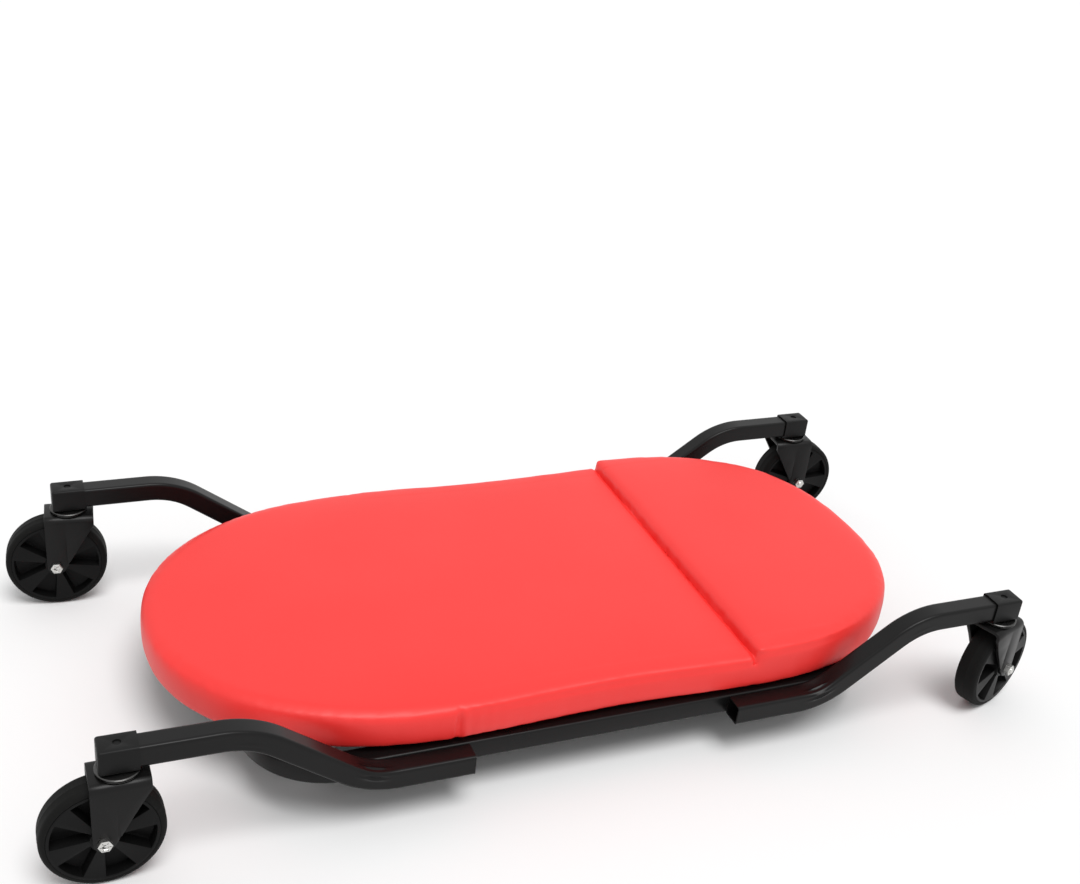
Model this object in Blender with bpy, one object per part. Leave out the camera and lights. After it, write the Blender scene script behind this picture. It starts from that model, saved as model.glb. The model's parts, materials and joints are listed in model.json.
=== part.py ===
"""A mechanic's creeper: a padded board on a bent tube frame, with four raised arms on swivel casters.

Metres, +Z up. X runs from the foot end (-X) to the head end (+X), and left is -Y. The origin is on
the floor, below the middle of the frame.
"""

import math

import bmesh
import bpy
from mathutils import Matrix, Vector

# Fits between pieces
SEAT_GAP = 0.0003
RUNNING_GAP = 0.0004
BOLT_CLEARANCE = 0.0003

# Square steel tube of the frame and the arms
TUBE = 0.025
TUBE_WALL = 0.002
TUBE_CORNER = 0.003
TUBE_CORNER_STEPS = 1
BEND_STEPS = 6

# Base frame
FRAME_BOTTOM_Z = 0.050
FRAME_HALF_LENGTH = 0.404
FRAME_SIDE_MARGIN = 0.007
FRAME_BEND_RADIUS = 0.0875
CROSS_TUBE_X = 0.150

# Arms, given at the head left corner
ARM_INNER_END_X = 0.166
ARM_LOWER_BEND_X = 0.285
ARM_UPPER_BEND_X = 0.411
ARM_OUTER_END_X = 0.560
ARM_BEND_RADIUS = 0.105
CAP_LENGTH = 0.040
CAP_WALL = 0.0018
CAP_CORNER = 0.003

# Board, its screws and the cushions
BOARD_THICKNESS = 0.011
BOARD_INSET = 0.006
BOARD_OUTLINE_STEPS = 10
SCREW_DIAMETER = 0.006
SCREW_HEAD_ACROSS = 0.010
SCREW_HEAD_HEIGHT = 0.004
SCREW_BITE = 0.008
BOW_SCREW_Y = 0.100
PAD_HALF_WIDTH = 0.237
PAD_FOOT_X = -0.483
PAD_HEAD_X = 0.481
PAD_FOOT_CURVE_X = -0.180
PAD_FOOT_CURVE_POWER = 2.15
PAD_HEAD_CURVE_POWER = 2.4
PAD_OUTLINE_STEPS = 12
VALLEY_X = 0.199
VALLEY_CORNER = 0.012
VALLEY_CORNER_STEPS = 3
HEADREST_STRAIGHT = 0.004
PAD_WAIST = 0.003
PAD_WAIST_STEPS = 3
PAD_DRAW_IN = 0.003
PAD_EDGE_ROUND = 0.008
MAIN_CUSHION_HEIGHT = 0.038
HEADREST_HEIGHT = 0.050
CUSHION_CROWN = 0.005
# Shares of the wall's height between which it stands full, and of the top's width at its rings
PAD_FULL_FROM = 0.25
PAD_FULL_TO = 0.6
CROWN_RINGS = (0.88, 0.7, 0.45)

# Wheels
WHEEL_DIAMETER = 0.125
WHEEL_WIDTH = 0.030
TYRE_THICKNESS = 0.007
TYRE_SHOULDER = 0.006
TYRE_SIDES = 36
RIM_THICKNESS = 0.006
WEB_THICKNESS = 0.006
HUB_DIAMETER = 0.028
SPOKES = 6
SPOKE_SIDES = 2
POCKET_SIDES = 2
POCKET_DRAFT = 0.001

# Swivel forks and their hardware
CASTER_TRAIL = 0.018
FORK_GAP = 0.038
FORK_SHEET = 0.0045
FORK_CROWN_LENGTH = 0.060
FORK_CROWN_SIDE = 0.012
FORK_BOSS_RADIUS = 0.0115
FORK_BOSS_STEPS = 8
WHEEL_TOP_CLEARANCE = 0.0012
BEARING_DIAMETER = 0.046
BEARING_HEIGHT = 0.0045
BEARING_CHAMFER = 0.001
KINGPIN_DIAMETER = 0.010
KINGPIN_HEAD_DIAMETER = 0.018
KINGPIN_HEAD_HEIGHT = 0.0025
KINGPIN_SINK = 0.001
KINGPIN_NUT_ACROSS = 0.016
KINGPIN_NUT_HEIGHT = 0.008
AXLE_DIAMETER = 0.008
AXLE_HEAD_ACROSS = 0.013
AXLE_HEAD_HEIGHT = 0.0053
AXLE_NUT_HEIGHT = 0.0065
AXLE_THREAD_END = 0.002
SLEEVE_WALL = 0.002
ROUND_SIDES = 16
RING_SIDES = 24

# Way each caster trails, and how far its wheel has turned, in degrees
CASTER_HEADING = {"foot_left": 180, "foot_right": 175, "head_left": 20, "head_right": -4}
WHEEL_TURN = {"foot_left": 20, "foot_right": 9, "head_left": 10, "head_right": 40}

# Sizes that follow from those above
FRAME_HALF_WIDTH = PAD_HALF_WIDTH + FRAME_SIDE_MARGIN
FRAME_TOP_Z = FRAME_BOTTOM_Z + TUBE
RAIL_Y = FRAME_HALF_WIDTH - TUBE / 2
RAIL_HALF_LENGTH = FRAME_HALF_LENGTH - TUBE / 2 - FRAME_BEND_RADIUS - SEAT_GAP
ARM_Y = FRAME_HALF_WIDTH + SEAT_GAP + TUBE / 2
ARM_LOWER_Z = FRAME_BOTTOM_Z + TUBE / 2
BOARD_BOTTOM_Z = FRAME_TOP_Z + SEAT_GAP
BOARD_TOP_Z = BOARD_BOTTOM_Z + BOARD_THICKNESS
CUSHION_BOTTOM_Z = BOARD_TOP_Z + SEAT_GAP
BOW_SCREW_X = FRAME_HALF_LENGTH - TUBE / 2
HEAD_CURVE_X = VALLEY_X + SEAT_GAP / 2 + VALLEY_CORNER + HEADREST_STRAIGHT
WHEEL_RADIUS = WHEEL_DIAMETER / 2
CORE_RADIUS = WHEEL_RADIUS - TYRE_THICKNESS
HUB_LENGTH = FORK_GAP - 2 * RUNNING_GAP
SLEEVE_BORE = AXLE_DIAMETER + 2 * BOLT_CLEARANCE
SLEEVE_DIAMETER = SLEEVE_BORE + 2 * SLEEVE_WALL
HUB_BORE = SLEEVE_DIAMETER + 2 * RUNNING_GAP
FORK_HALF_WIDTH = FORK_GAP / 2 + FORK_SHEET
FORK_CROWN_BOTTOM_Z = WHEEL_DIAMETER + WHEEL_TOP_CLEARANCE + KINGPIN_HEAD_HEIGHT + RUNNING_GAP
FORK_TOP_Z = FORK_CROWN_BOTTOM_Z + FORK_SHEET
BEARING_BOTTOM_Z = FORK_TOP_Z + RUNNING_GAP
CAP_BOTTOM_Z = BEARING_BOTTOM_Z + BEARING_HEIGHT + SEAT_GAP
CAP_HALF_WIDTH = TUBE / 2 + SEAT_GAP + CAP_WALL
ARM_UPPER_Z = CAP_BOTTOM_Z + CAP_HALF_WIDTH
CAP_TOP_Z = ARM_UPPER_Z + CAP_HALF_WIDTH
CAP_END_X = ARM_OUTER_END_X + SEAT_GAP + CAP_WALL
SWIVEL_X = CAP_END_X - CAP_LENGTH / 2
KINGPIN_HOLE = KINGPIN_DIAMETER + 2 * BOLT_CLEARANCE

# Finishes: colour, roughness, metallic
VINYL = ("red_vinyl", (0.80, 0.06, 0.05), 0.45, 0.0)
PAINT = ("black_paint", (0.018, 0.018, 0.018), 0.35, 0.0)
BOARD = ("black_board", (0.03, 0.028, 0.026), 0.8, 0.0)
CAP_PLASTIC = ("black_cap_plastic", (0.02, 0.02, 0.02), 0.5, 0.0)
CORE_PLASTIC = ("black_core_plastic", (0.016, 0.016, 0.016), 0.4, 0.0)
RUBBER = ("black_rubber", (0.022, 0.022, 0.022), 0.7, 0.0)
ZINC = ("zinc_plate", (0.72, 0.72, 0.70), 0.3, 1.0)


def finish(look):
    """The material of a finish, made at its first use."""
    name, colour, roughness, metallic = look
    material = bpy.data.materials.get(name)
    if material:
        return material
    material = bpy.data.materials.new(name)
    material.use_nodes = True
    shader = material.node_tree.nodes["Principled BSDF"]
    shader.inputs["Base Color"].default_value = (*colour, 1.0)
    shader.inputs["Roughness"].default_value = roughness
    shader.inputs["Metallic"].default_value = metallic
    material.diffuse_color = (*colour, 1.0)
    return material


def mesh_of(name, shape):
    """The bmesh as a mesh with its normals outwards."""
    bmesh.ops.recalc_face_normals(shape, faces=shape.faces)
    mesh = bpy.data.meshes.new(name)
    shape.to_mesh(mesh)
    shape.free()
    return mesh


def carved(name, shape, cutters):
    """The bmesh as a mesh, with each cutter taken out of it."""
    body = bpy.data.objects.new(name, mesh_of(name, shape))
    tools = [bpy.data.objects.new(name + "_cutter", mesh_of(name + "_cutter", tool)) for tool in cutters]
    for item in [body, *tools]:
        bpy.context.scene.collection.objects.link(item)
    for tool in tools:
        cut = body.modifiers.new("cut", "BOOLEAN")
        cut.operation = "DIFFERENCE"
        cut.solver = "EXACT"
        cut.object = tool
    graph = bpy.context.evaluated_depsgraph_get()
    mesh = bpy.data.meshes.new_from_object(body.evaluated_get(graph))
    mesh.name = name
    for item in [body, *tools]:
        bpy.data.objects.remove(item)
    return mesh


def add(name, mesh, look, place=Matrix(), parent=None):
    """Puts a mesh into the scene as one named piece."""
    mesh.materials.clear()
    mesh.materials.append(finish(look))
    mesh.shade_smooth()
    mesh.set_sharp_from_angle(angle=math.radians(35))
    piece = bpy.data.objects.new(name, mesh)
    bpy.context.scene.collection.objects.link(piece)
    piece.parent = parent
    piece.matrix_local = place
    return piece


def add_axis(name, place, parent=None):
    """An empty on a joint's axis, which carries the pieces that turn about it."""
    axis = bpy.data.objects.new(name, None)
    axis.empty_display_size = WHEEL_RADIUS / 2
    bpy.context.scene.collection.objects.link(axis)
    axis.parent = parent
    axis.matrix_local = place
    return axis


def mirrored(mesh, across_x, across_y):
    """A copy of a head left mesh for another corner."""
    shape = bmesh.new()
    shape.from_mesh(mesh)
    bmesh.ops.scale(shape, vec=(-1 if across_x else 1, -1 if across_y else 1, 1), verts=shape.verts)
    return mesh_of(mesh.name, shape)


def cylinder(diameter, low, high, sides=ROUND_SIDES, place=Matrix()):
    """A round bar along its own Z, between two heights."""
    shape = bmesh.new()
    middle = Matrix.Translation((0, 0, (low + high) / 2))
    bmesh.ops.create_cone(shape, cap_ends=True, segments=sides, radius1=diameter / 2, radius2=diameter / 2,
                          depth=high - low, matrix=place @ middle)
    return shape


def turned(profile, sides):
    """A ring or bar turned about Z from a closed outline of (radius, height) points.

    The radii hold at the middle of each flat, so a flat never cuts into what it was sized to clear.
    """
    shape = bmesh.new()
    stretch = 1 / math.cos(math.pi / sides)
    corners = [shape.verts.new((radius * stretch, 0, height)) for radius, height in profile]
    edges = [shape.edges.new((corner, corners[i - 1])) for i, corner in enumerate(corners)]
    start = Matrix.Rotation(math.pi / sides, 3, "Z")
    bmesh.ops.rotate(shape, verts=shape.verts, cent=(0, 0, 0), matrix=start)
    bmesh.ops.spin(shape, geom=[*corners, *edges], cent=(0, 0, 0), axis=(0, 0, 1), angle=2 * math.pi,
                   steps=sides, use_merge=True)
    bmesh.ops.remove_doubles(shape, verts=shape.verts, dist=1e-6)
    return shape


def section(width, wall, corner):
    """The end of a square tube in the YZ plane, with rounded corners: its ring of faces."""
    shape = bmesh.new()
    turn = Matrix.Rotation(math.pi / 2, 4, "Y")
    bmesh.ops.create_grid(shape, x_segments=1, y_segments=1, size=width / 2, matrix=turn)
    bmesh.ops.bevel(shape, geom=list(shape.verts), offset=corner, segments=TUBE_CORNER_STEPS, profile=0.5,
                    affect="VERTICES", material=-1)
    inner = list(shape.faces)
    bmesh.ops.inset_region(shape, faces=inner, thickness=wall, use_boundary=True, use_even_offset=True)
    bmesh.ops.delete(shape, geom=inner, context="FACES")
    return shape


def with_edges(faces):
    """The faces and their edges, which an extrusion needs to leave no face inside."""
    return list(faces) + list({edge for face in faces for edge in face.edges})


def pulled(shape, faces, way):
    """Extrudes faces straight, such as a tube's end, and gives the new end."""
    grown = bmesh.ops.extrude_face_region(shape, geom=with_edges(faces))["geom"]
    verts = [item for item in grown if isinstance(item, bmesh.types.BMVert)]
    bmesh.ops.translate(shape, verts=verts, vec=way)
    return [item for item in grown if isinstance(item, bmesh.types.BMFace)]


def bent(shape, faces, centre, axis, angle):
    """Bends the tube on from its end faces, round a centre, and gives the new end."""
    grown = bmesh.ops.spin(shape, geom=with_edges(faces), cent=centre, axis=axis, angle=angle,
                           steps=BEND_STEPS)
    return [item for item in grown["geom_last"] if isinstance(item, bmesh.types.BMFace)]


def straight_tube(length):
    """A square tube along X, centred on the origin."""
    shape = section(TUBE, TUBE_WALL, TUBE_CORNER)
    bmesh.ops.translate(shape, verts=shape.verts, vec=(-length / 2, 0, 0))
    pulled(shape, list(shape.faces), (length, 0, 0))
    return shape


def arm_mesh():
    """An arm at the head left corner: along the rail, up in an S-bend, and out to the caster."""
    rise = ARM_UPPER_Z - ARM_LOWER_Z
    angle = math.atan2(rise, ARM_UPPER_BEND_X - ARM_LOWER_BEND_X)
    setback = ARM_BEND_RADIUS * math.tan(angle / 2)
    slope = math.hypot(rise, ARM_UPPER_BEND_X - ARM_LOWER_BEND_X) - 2 * setback
    lower_end_x = ARM_LOWER_BEND_X - setback
    upper_start_x = ARM_UPPER_BEND_X + setback
    shape = section(TUBE, TUBE_WALL, TUBE_CORNER)
    bmesh.ops.translate(shape, verts=shape.verts, vec=(ARM_INNER_END_X, -ARM_Y, ARM_LOWER_Z))
    end = pulled(shape, list(shape.faces), (lower_end_x - ARM_INNER_END_X, 0, 0))
    end = bent(shape, end, (lower_end_x, -ARM_Y, ARM_LOWER_Z + ARM_BEND_RADIUS), (0, -1, 0), angle)
    end = pulled(shape, end, (slope * math.cos(angle), 0, slope * math.sin(angle)))
    end = bent(shape, end, (upper_start_x, -ARM_Y, ARM_UPPER_Z - ARM_BEND_RADIUS), (0, 1, 0), angle)
    pulled(shape, end, (ARM_OUTER_END_X - upper_start_x, 0, 0))
    hole = Matrix.Translation((SWIVEL_X, -ARM_Y, 0))
    return carved("arm", shape, [cylinder(KINGPIN_HOLE, ARM_UPPER_Z - TUBE, ARM_UPPER_Z + TUBE, place=hole)])


def cap_mesh():
    """The sleeve over the outer end of the head left arm: closed at its end, with the kingpin's hole."""
    shape = bmesh.new()
    turn = Matrix.Rotation(math.pi / 2, 4, "Y")
    back = Matrix.Translation((CAP_END_X - CAP_LENGTH, -ARM_Y, ARM_UPPER_Z))
    bmesh.ops.create_grid(shape, x_segments=1, y_segments=1, size=CAP_HALF_WIDTH, matrix=back @ turn)
    bmesh.ops.bevel(shape, geom=list(shape.verts), offset=CAP_CORNER, segments=2, profile=0.5,
                    affect="VERTICES", material=-1)
    pulled(shape, list(shape.faces), (CAP_LENGTH, 0, 0))
    pocket_half = TUBE / 2 + SEAT_GAP
    pocket = bmesh.new()
    spread = Matrix.Diagonal((2 * (CAP_LENGTH - CAP_WALL), 2 * pocket_half, 2 * pocket_half, 1))
    bmesh.ops.create_cube(pocket, size=1, matrix=back @ spread)
    hole = Matrix.Translation((SWIVEL_X, -ARM_Y, 0))
    pin = cylinder(KINGPIN_HOLE, ARM_UPPER_Z - TUBE, ARM_UPPER_Z + TUBE, place=hole)
    return carved("arm_cap", shape, [pocket, pin])


def add_frame():
    """The rails, the bows, the cross tubes and the screws that hold the board down on them."""
    middle_z = FRAME_BOTTOM_Z + TUBE / 2
    for side, sign in (("left", -1), ("right", 1)):
        place = Matrix.Translation((0, sign * RAIL_Y, middle_z))
        add(side + "_rail", mesh_of("rail", straight_tube(2 * RAIL_HALF_LENGTH)), PAINT, place)
    hole_diameter = SCREW_DIAMETER + 2 * BOLT_CLEARANCE
    head_bow = bow_mesh(hole_diameter)
    add("head_bow", head_bow, PAINT)
    add("foot_bow", mirrored(head_bow, True, False), PAINT)
    cross_length = 2 * (FRAME_HALF_WIDTH - TUBE - SEAT_GAP)
    for end, sign in (("foot", -1), ("head", 1)):
        hole = cylinder(hole_diameter, -TUBE, TUBE)
        place = Matrix.Translation((sign * CROSS_TUBE_X, 0, middle_z)) @ Matrix.Rotation(math.pi / 2, 4, "Z")
        add(end + "_cross_tube", carved("cross_tube", straight_tube(cross_length), [hole]), PAINT, place)
    screw = screw_mesh()
    for number, (x, y) in enumerate(screw_places(), 1):
        place = Matrix.Translation((x, y, FRAME_BOTTOM_Z))
        add(f"board_screw_{number}", screw, ZINC, place)


def screw_places():
    """Where the board's screws stand: two on each bow, one on each cross tube."""
    on_bows = [(end * BOW_SCREW_X, side * BOW_SCREW_Y) for end in (-1, 1) for side in (-1, 1)]
    return on_bows + [(-CROSS_TUBE_X, 0.0), (CROSS_TUBE_X, 0.0)]


def bow_mesh(hole_diameter):
    """The head bow: from the left rail round both bends to the right rail."""
    middle_z = FRAME_BOTTOM_Z + TUBE / 2
    bend_x = FRAME_HALF_LENGTH - TUBE / 2 - FRAME_BEND_RADIUS
    bend_y = RAIL_Y - FRAME_BEND_RADIUS
    shape = section(TUBE, TUBE_WALL, TUBE_CORNER)
    bmesh.ops.translate(shape, verts=shape.verts, vec=(bend_x, -RAIL_Y, middle_z))
    end = bent(shape, list(shape.faces), (bend_x, -bend_y, middle_z), (0, 0, 1), math.pi / 2)
    end = pulled(shape, end, (0, 2 * bend_y, 0))
    bent(shape, end, (bend_x, bend_y, middle_z), (0, 0, 1), math.pi / 2)
    holes = []
    for side in (-1, 1):
        place = Matrix.Translation((BOW_SCREW_X, side * BOW_SCREW_Y, middle_z))
        holes.append(cylinder(hole_diameter, -TUBE, TUBE, place=place))
    return carved("bow", shape, holes)


def screw_mesh():
    """A board screw with its hexagon head under the tube, from z = 0 at the tube's underside."""
    shape = hexagon(SCREW_HEAD_ACROSS, -SEAT_GAP - SCREW_HEAD_HEIGHT, -SEAT_GAP)
    top = max(shape.faces, key=lambda face: face.calc_center_median().z)
    to_flat = SCREW_DIAMETER / 2 * math.cos(math.pi / 12)
    bmesh.ops.inset_region(shape, faces=[top], thickness=SCREW_HEAD_ACROSS / 2 - to_flat, use_even_offset=True)
    corner = to_flat * (math.tan(math.pi / 6) - math.tan(math.pi / 12))
    bmesh.ops.bevel(shape, geom=list(top.verts), offset=corner, segments=1, profile=0.5,
                    affect="VERTICES", material=-1)
    pulled(shape, [max(shape.faces, key=lambda face: len(face.verts))], (0, 0, TUBE + 2 * SEAT_GAP + SCREW_BITE))
    return mesh_of("board_screw", shape)


def hexagon(across_flats, low, high):
    """A hexagonal block along Z, with two of its flats facing along Y."""
    turn = Matrix.Rotation(math.pi / 6, 4, "Z")
    return cylinder(across_flats / math.cos(math.pi / 6), low, high, sides=6, place=turn)


def grow_shank(shape, diameter, low, high):
    """Grows a round shank out of the block's top face, through a ring cut into that face."""
    top = max(shape.faces, key=lambda face: face.calc_center_median().z)
    rim = list(top.edges)
    bmesh.ops.delete(shape, geom=[top], context="FACES_ONLY")
    bmesh.ops.create_circle(shape, segments=ROUND_SIDES, radius=diameter / 2,
                            matrix=Matrix.Translation((0, 0, low)))
    ring = [edge for edge in shape.edges if edge.is_wire]
    bmesh.ops.bridge_loops(shape, edges=rim + ring)
    cap = bmesh.ops.contextual_create(shape, geom=ring)["faces"]
    pulled(shape, cap, (0, 0, high - low))


def superellipse(reach, half_width, power, steps):
    """A quarter of a rounded end: (reach, side) points from its tip to its full width."""
    points = []
    for step in range(steps + 1):
        angle = math.pi / 2 * step / steps
        ahead = reach * math.cos(angle) ** (2 / power) if step < steps else 0.0
        points.append((ahead, half_width * math.sin(angle) ** (2 / power)))
    return points


def foot_curve(inset, steps):
    """The foot end's outline from its left full width round the tip to the right, drawn in by inset."""
    reach = PAD_FOOT_CURVE_X - PAD_FOOT_X - inset
    quarter = superellipse(reach, PAD_HALF_WIDTH - inset, PAD_FOOT_CURVE_POWER, steps)
    right = [(PAD_FOOT_CURVE_X - ahead, side) for ahead, side in quarter]
    return [(x, -y) for x, y in reversed(right)] + right[1:]


def head_curve(inset, steps):
    """The head end's outline from its right full width round the tip to the left, drawn in by inset."""
    reach = PAD_HEAD_X - HEAD_CURVE_X - inset
    quarter = superellipse(reach, PAD_HALF_WIDTH - inset, PAD_HEAD_CURVE_POWER, steps)
    left = [(HEAD_CURVE_X + ahead, -side) for ahead, side in quarter]
    return [(x, -y) for x, y in reversed(left)] + left[1:]


def valley_corner(x, half_width, inset, toward):
    """A rounded corner at the valley, on the right: from the side (+Y) to the valley's straight edge."""
    radius = max(VALLEY_CORNER - inset, VALLEY_CORNER / 4)
    centre_x = x - toward * (inset + radius)
    centre_y = half_width - inset - radius
    points = []
    for step in range(VALLEY_CORNER_STEPS + 1):
        angle = math.pi / 2 * step / VALLEY_CORNER_STEPS
        points.append((centre_x + toward * radius * math.sin(angle), centre_y + radius * math.cos(angle)))
    return points


def waist(start_x, end_x, inset):
    """The right side between two corners, which the stretched cover pulls in a little."""
    points = []
    for step in range(1, PAD_WAIST_STEPS + 1):
        share = step / (PAD_WAIST_STEPS + 1)
        pull = PAD_WAIST * math.sin(math.pi * share)
        points.append((start_x + share * (end_x - start_x), PAD_HALF_WIDTH - inset - pull))
    return points


def main_outline(inset):
    """The main cushion's outline, drawn in by inset."""
    corner = valley_corner(VALLEY_X - SEAT_GAP / 2, PAD_HALF_WIDTH, inset, 1)
    side = waist(PAD_FOOT_CURVE_X, corner[0][0], inset) + corner
    return foot_curve(inset, PAD_OUTLINE_STEPS) + side + [(x, -y) for x, y in reversed(side)]


def headrest_outline(inset):
    """The headrest's outline, drawn in by inset."""
    corner = valley_corner(VALLEY_X + SEAT_GAP / 2, PAD_HALF_WIDTH, inset, -1)
    curve = head_curve(inset, PAD_OUTLINE_STEPS)
    return curve + [(x, -y) for x, y in corner] + list(reversed(corner))


def lofted(rings):
    """A closed skin through rings of (x, y, z) points, with flat ends."""
    shape = bmesh.new()
    loops = [[shape.verts.new(point) for point in ring] for ring in rings]
    for low, high in zip(loops, loops[1:]):
        for i in range(len(low)):
            shape.faces.new((low[i - 1], low[i], high[i], high[i - 1]))
    shape.faces.new(loops[0])
    shape.faces.new(loops[-1])
    return shape


def cushion_mesh(name, outline, height):
    """A crowned cushion: flat underneath, drawn in at its foot and its seam, full at the middle."""
    seam_z = CUSHION_BOTTOM_Z + height
    wall = ((PAD_DRAW_IN, 0.0), (0.0, PAD_FULL_FROM), (0.0, PAD_FULL_TO), (PAD_DRAW_IN / 2, 1.0))
    rings = []
    for inset, share in wall:
        z = CUSHION_BOTTOM_Z + share * (height - PAD_EDGE_ROUND / 2)
        rings.append([(x, y, z) for x, y in outline(inset)])
    edge = outline(PAD_EDGE_ROUND)
    rings.append([(x, y, seam_z) for x, y in edge])
    centre_x = (min(x for x, _ in edge) + max(x for x, _ in edge)) / 2
    for scale in CROWN_RINGS:
        z = seam_z + CUSHION_CROWN * (1 - scale ** 2)
        rings.append([(centre_x + scale * (x - centre_x), scale * y, z) for x, y in edge])
    return mesh_of(name, lofted(rings))


def add_pad():
    """The board, and the two cushions on it."""
    board = bmesh.new()
    outline = foot_curve(BOARD_INSET, BOARD_OUTLINE_STEPS) + head_curve(BOARD_INSET, BOARD_OUTLINE_STEPS)
    face = board.faces.new([board.verts.new((x, y, BOARD_BOTTOM_Z)) for x, y in outline])
    pulled(board, [face], (0, 0, BOARD_THICKNESS))
    holes = []
    for x, y in screw_places():
        place = Matrix.Translation((x, y, BOARD_BOTTOM_Z))
        holes.append(cylinder(SCREW_DIAMETER + 2 * BOLT_CLEARANCE, -BOARD_THICKNESS, SCREW_BITE + SEAT_GAP,
                              place=place))
    add("base_board", carved("base_board", board, holes), BOARD)
    add("main_cushion", cushion_mesh("main_cushion", main_outline, MAIN_CUSHION_HEIGHT), VINYL)
    add("headrest_cushion", cushion_mesh("headrest_cushion", headrest_outline, HEADREST_HEIGHT), VINYL)


def fork_mesh():
    """A caster's yoke: a crown plate on the kingpin and two legs down to the axle, from the floor up.

    Its own X points the way the caster trails, with the kingpin at X = 0.
    """
    half_crown = FORK_CROWN_LENGTH / 2
    side_z = FORK_TOP_Z - FORK_CROWN_SIDE
    points = [(-half_crown, side_z), (-half_crown, FORK_TOP_Z)]
    points += [(half_crown, FORK_TOP_Z), (half_crown, side_z)]
    start = tangent_angle(half_crown, side_z, 1)
    stop = tangent_angle(-half_crown, side_z, -1) - 2 * math.pi
    for step in range(FORK_BOSS_STEPS + 1):
        angle = start + (stop - start) * step / FORK_BOSS_STEPS
        points.append((CASTER_TRAIL + FORK_BOSS_RADIUS * math.cos(angle),
                       WHEEL_RADIUS + FORK_BOSS_RADIUS * math.sin(angle)))
    shape = bmesh.new()
    side = shape.faces.new([shape.verts.new((x, -FORK_HALF_WIDTH, z)) for x, z in points])
    pulled(shape, [side], (0, 2 * FORK_HALF_WIDTH, 0))
    slot = bmesh.new()
    reach = 2 * (FORK_CROWN_LENGTH + CASTER_TRAIL)
    spread = Matrix.Diagonal((reach, FORK_GAP, 2 * FORK_CROWN_BOTTOM_Z, 1))
    bmesh.ops.create_cube(slot, size=1, matrix=spread)
    pin_hole = cylinder(KINGPIN_DIAMETER + 2 * RUNNING_GAP, FORK_CROWN_BOTTOM_Z - FORK_SHEET,
                        FORK_TOP_Z + FORK_SHEET)
    axle_hole = cylinder(SLEEVE_BORE, -2 * FORK_HALF_WIDTH, 2 * FORK_HALF_WIDTH, place=axle_place())
    return carved("fork", shape, [slot, pin_hole, axle_hole])


def tangent_angle(x, z, turn):
    """Where, round the axle boss, a straight leg edge from the crown's corner touches it."""
    way = Vector((x - CASTER_TRAIL, z - WHEEL_RADIUS))
    return math.atan2(way.y, way.x) - turn * math.acos(FORK_BOSS_RADIUS / way.length)


def axle_place():
    """Turns a shape along Z to lie along the axle."""
    return Matrix.Translation((CASTER_TRAIL, 0, WHEEL_RADIUS)) @ Matrix.Rotation(math.pi / 2, 4, "X")


def wheel_core_mesh():
    """A moulded wheel about its own Z: hub, six wedge spokes over a thin web, and a rim."""
    radii = (HUB_BORE / 2, HUB_DIAMETER / 2, CORE_RADIUS - RIM_THICKNESS, CORE_RADIUS - SEAT_GAP)
    pitch = SPOKE_SIDES + POCKET_SIDES
    sides = SPOKES * pitch
    shape = bmesh.new()
    bore = bmesh.ops.create_circle(shape, segments=sides, radius=radii[0])["verts"]
    edges = list({edge for vert in bore for edge in vert.link_edges})
    for inner, outer in zip(radii, radii[1:]):
        grown = bmesh.ops.extrude_edge_only(shape, edges=edges)["geom"]
        verts = [item for item in grown if isinstance(item, bmesh.types.BMVert)]
        edges = [item for item in grown if isinstance(item, bmesh.types.BMEdge)]
        bmesh.ops.scale(shape, vec=(outer / inner, outer / inner, 1), verts=verts)
    bmesh.ops.translate(shape, verts=shape.verts, vec=(0, 0, -WHEEL_WIDTH / 2))
    pulled(shape, list(shape.faces), (0, 0, WHEEL_WIDTH))
    bmesh.ops.recalc_face_normals(shape, faces=shape.faces)
    open_pockets(shape, radii, pitch)
    raise_hub(shape, radii)
    return mesh_of("wheel_core", shape)


def open_pockets(shape, radii, pitch):
    """Sinks the pockets between the spokes from both faces, down to the web."""
    depth = (WHEEL_WIDTH - WEB_THICKNESS) / 2
    step = 2 * math.pi / (SPOKES * pitch)
    for way in (-1, 1):
        pockets = {}
        for face in shape.faces:
            middle = face.calc_center_median()
            radius = math.hypot(middle.x, middle.y)
            if face.normal.z * way < 0.9 or not radii[1] < radius < radii[2]:
                continue
            sector = int((math.atan2(middle.y, middle.x) % (2 * math.pi)) / step)
            if sector % pitch >= SPOKE_SIDES:
                pockets.setdefault(sector // pitch, []).append(face)
        for faces in pockets.values():
            bmesh.ops.inset_region(shape, faces=faces, thickness=POCKET_DRAFT, depth=-depth,
                                   use_even_offset=True)


def raise_hub(shape, radii):
    """Raises the hub past the wheel's faces, to fill the fork."""
    proud = (HUB_LENGTH - WHEEL_WIDTH) / 2
    for way in (-1, 1):
        hub = []
        for face in shape.faces:
            middle = face.calc_center_median()
            if face.normal.z * way > 0.9 and math.hypot(middle.x, middle.y) < radii[1]:
                hub.append(face)
        pulled(shape, hub, (0, 0, way * proud))


def tyre_mesh():
    """A tyre about its own Z, with rounded shoulders."""
    half = WHEEL_WIDTH / 2
    inner = CORE_RADIUS
    shoulder = TYRE_SHOULDER * math.sin(math.pi / 4)
    profile = [(inner, -half), (WHEEL_RADIUS - TYRE_SHOULDER, -half),
               (WHEEL_RADIUS - TYRE_SHOULDER + shoulder, -half + TYRE_SHOULDER - shoulder),
               (WHEEL_RADIUS, -half + TYRE_SHOULDER)]
    profile += [(radius, -height) for radius, height in reversed(profile)]
    return mesh_of("tyre", turned(profile, TYRE_SIDES))


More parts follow.
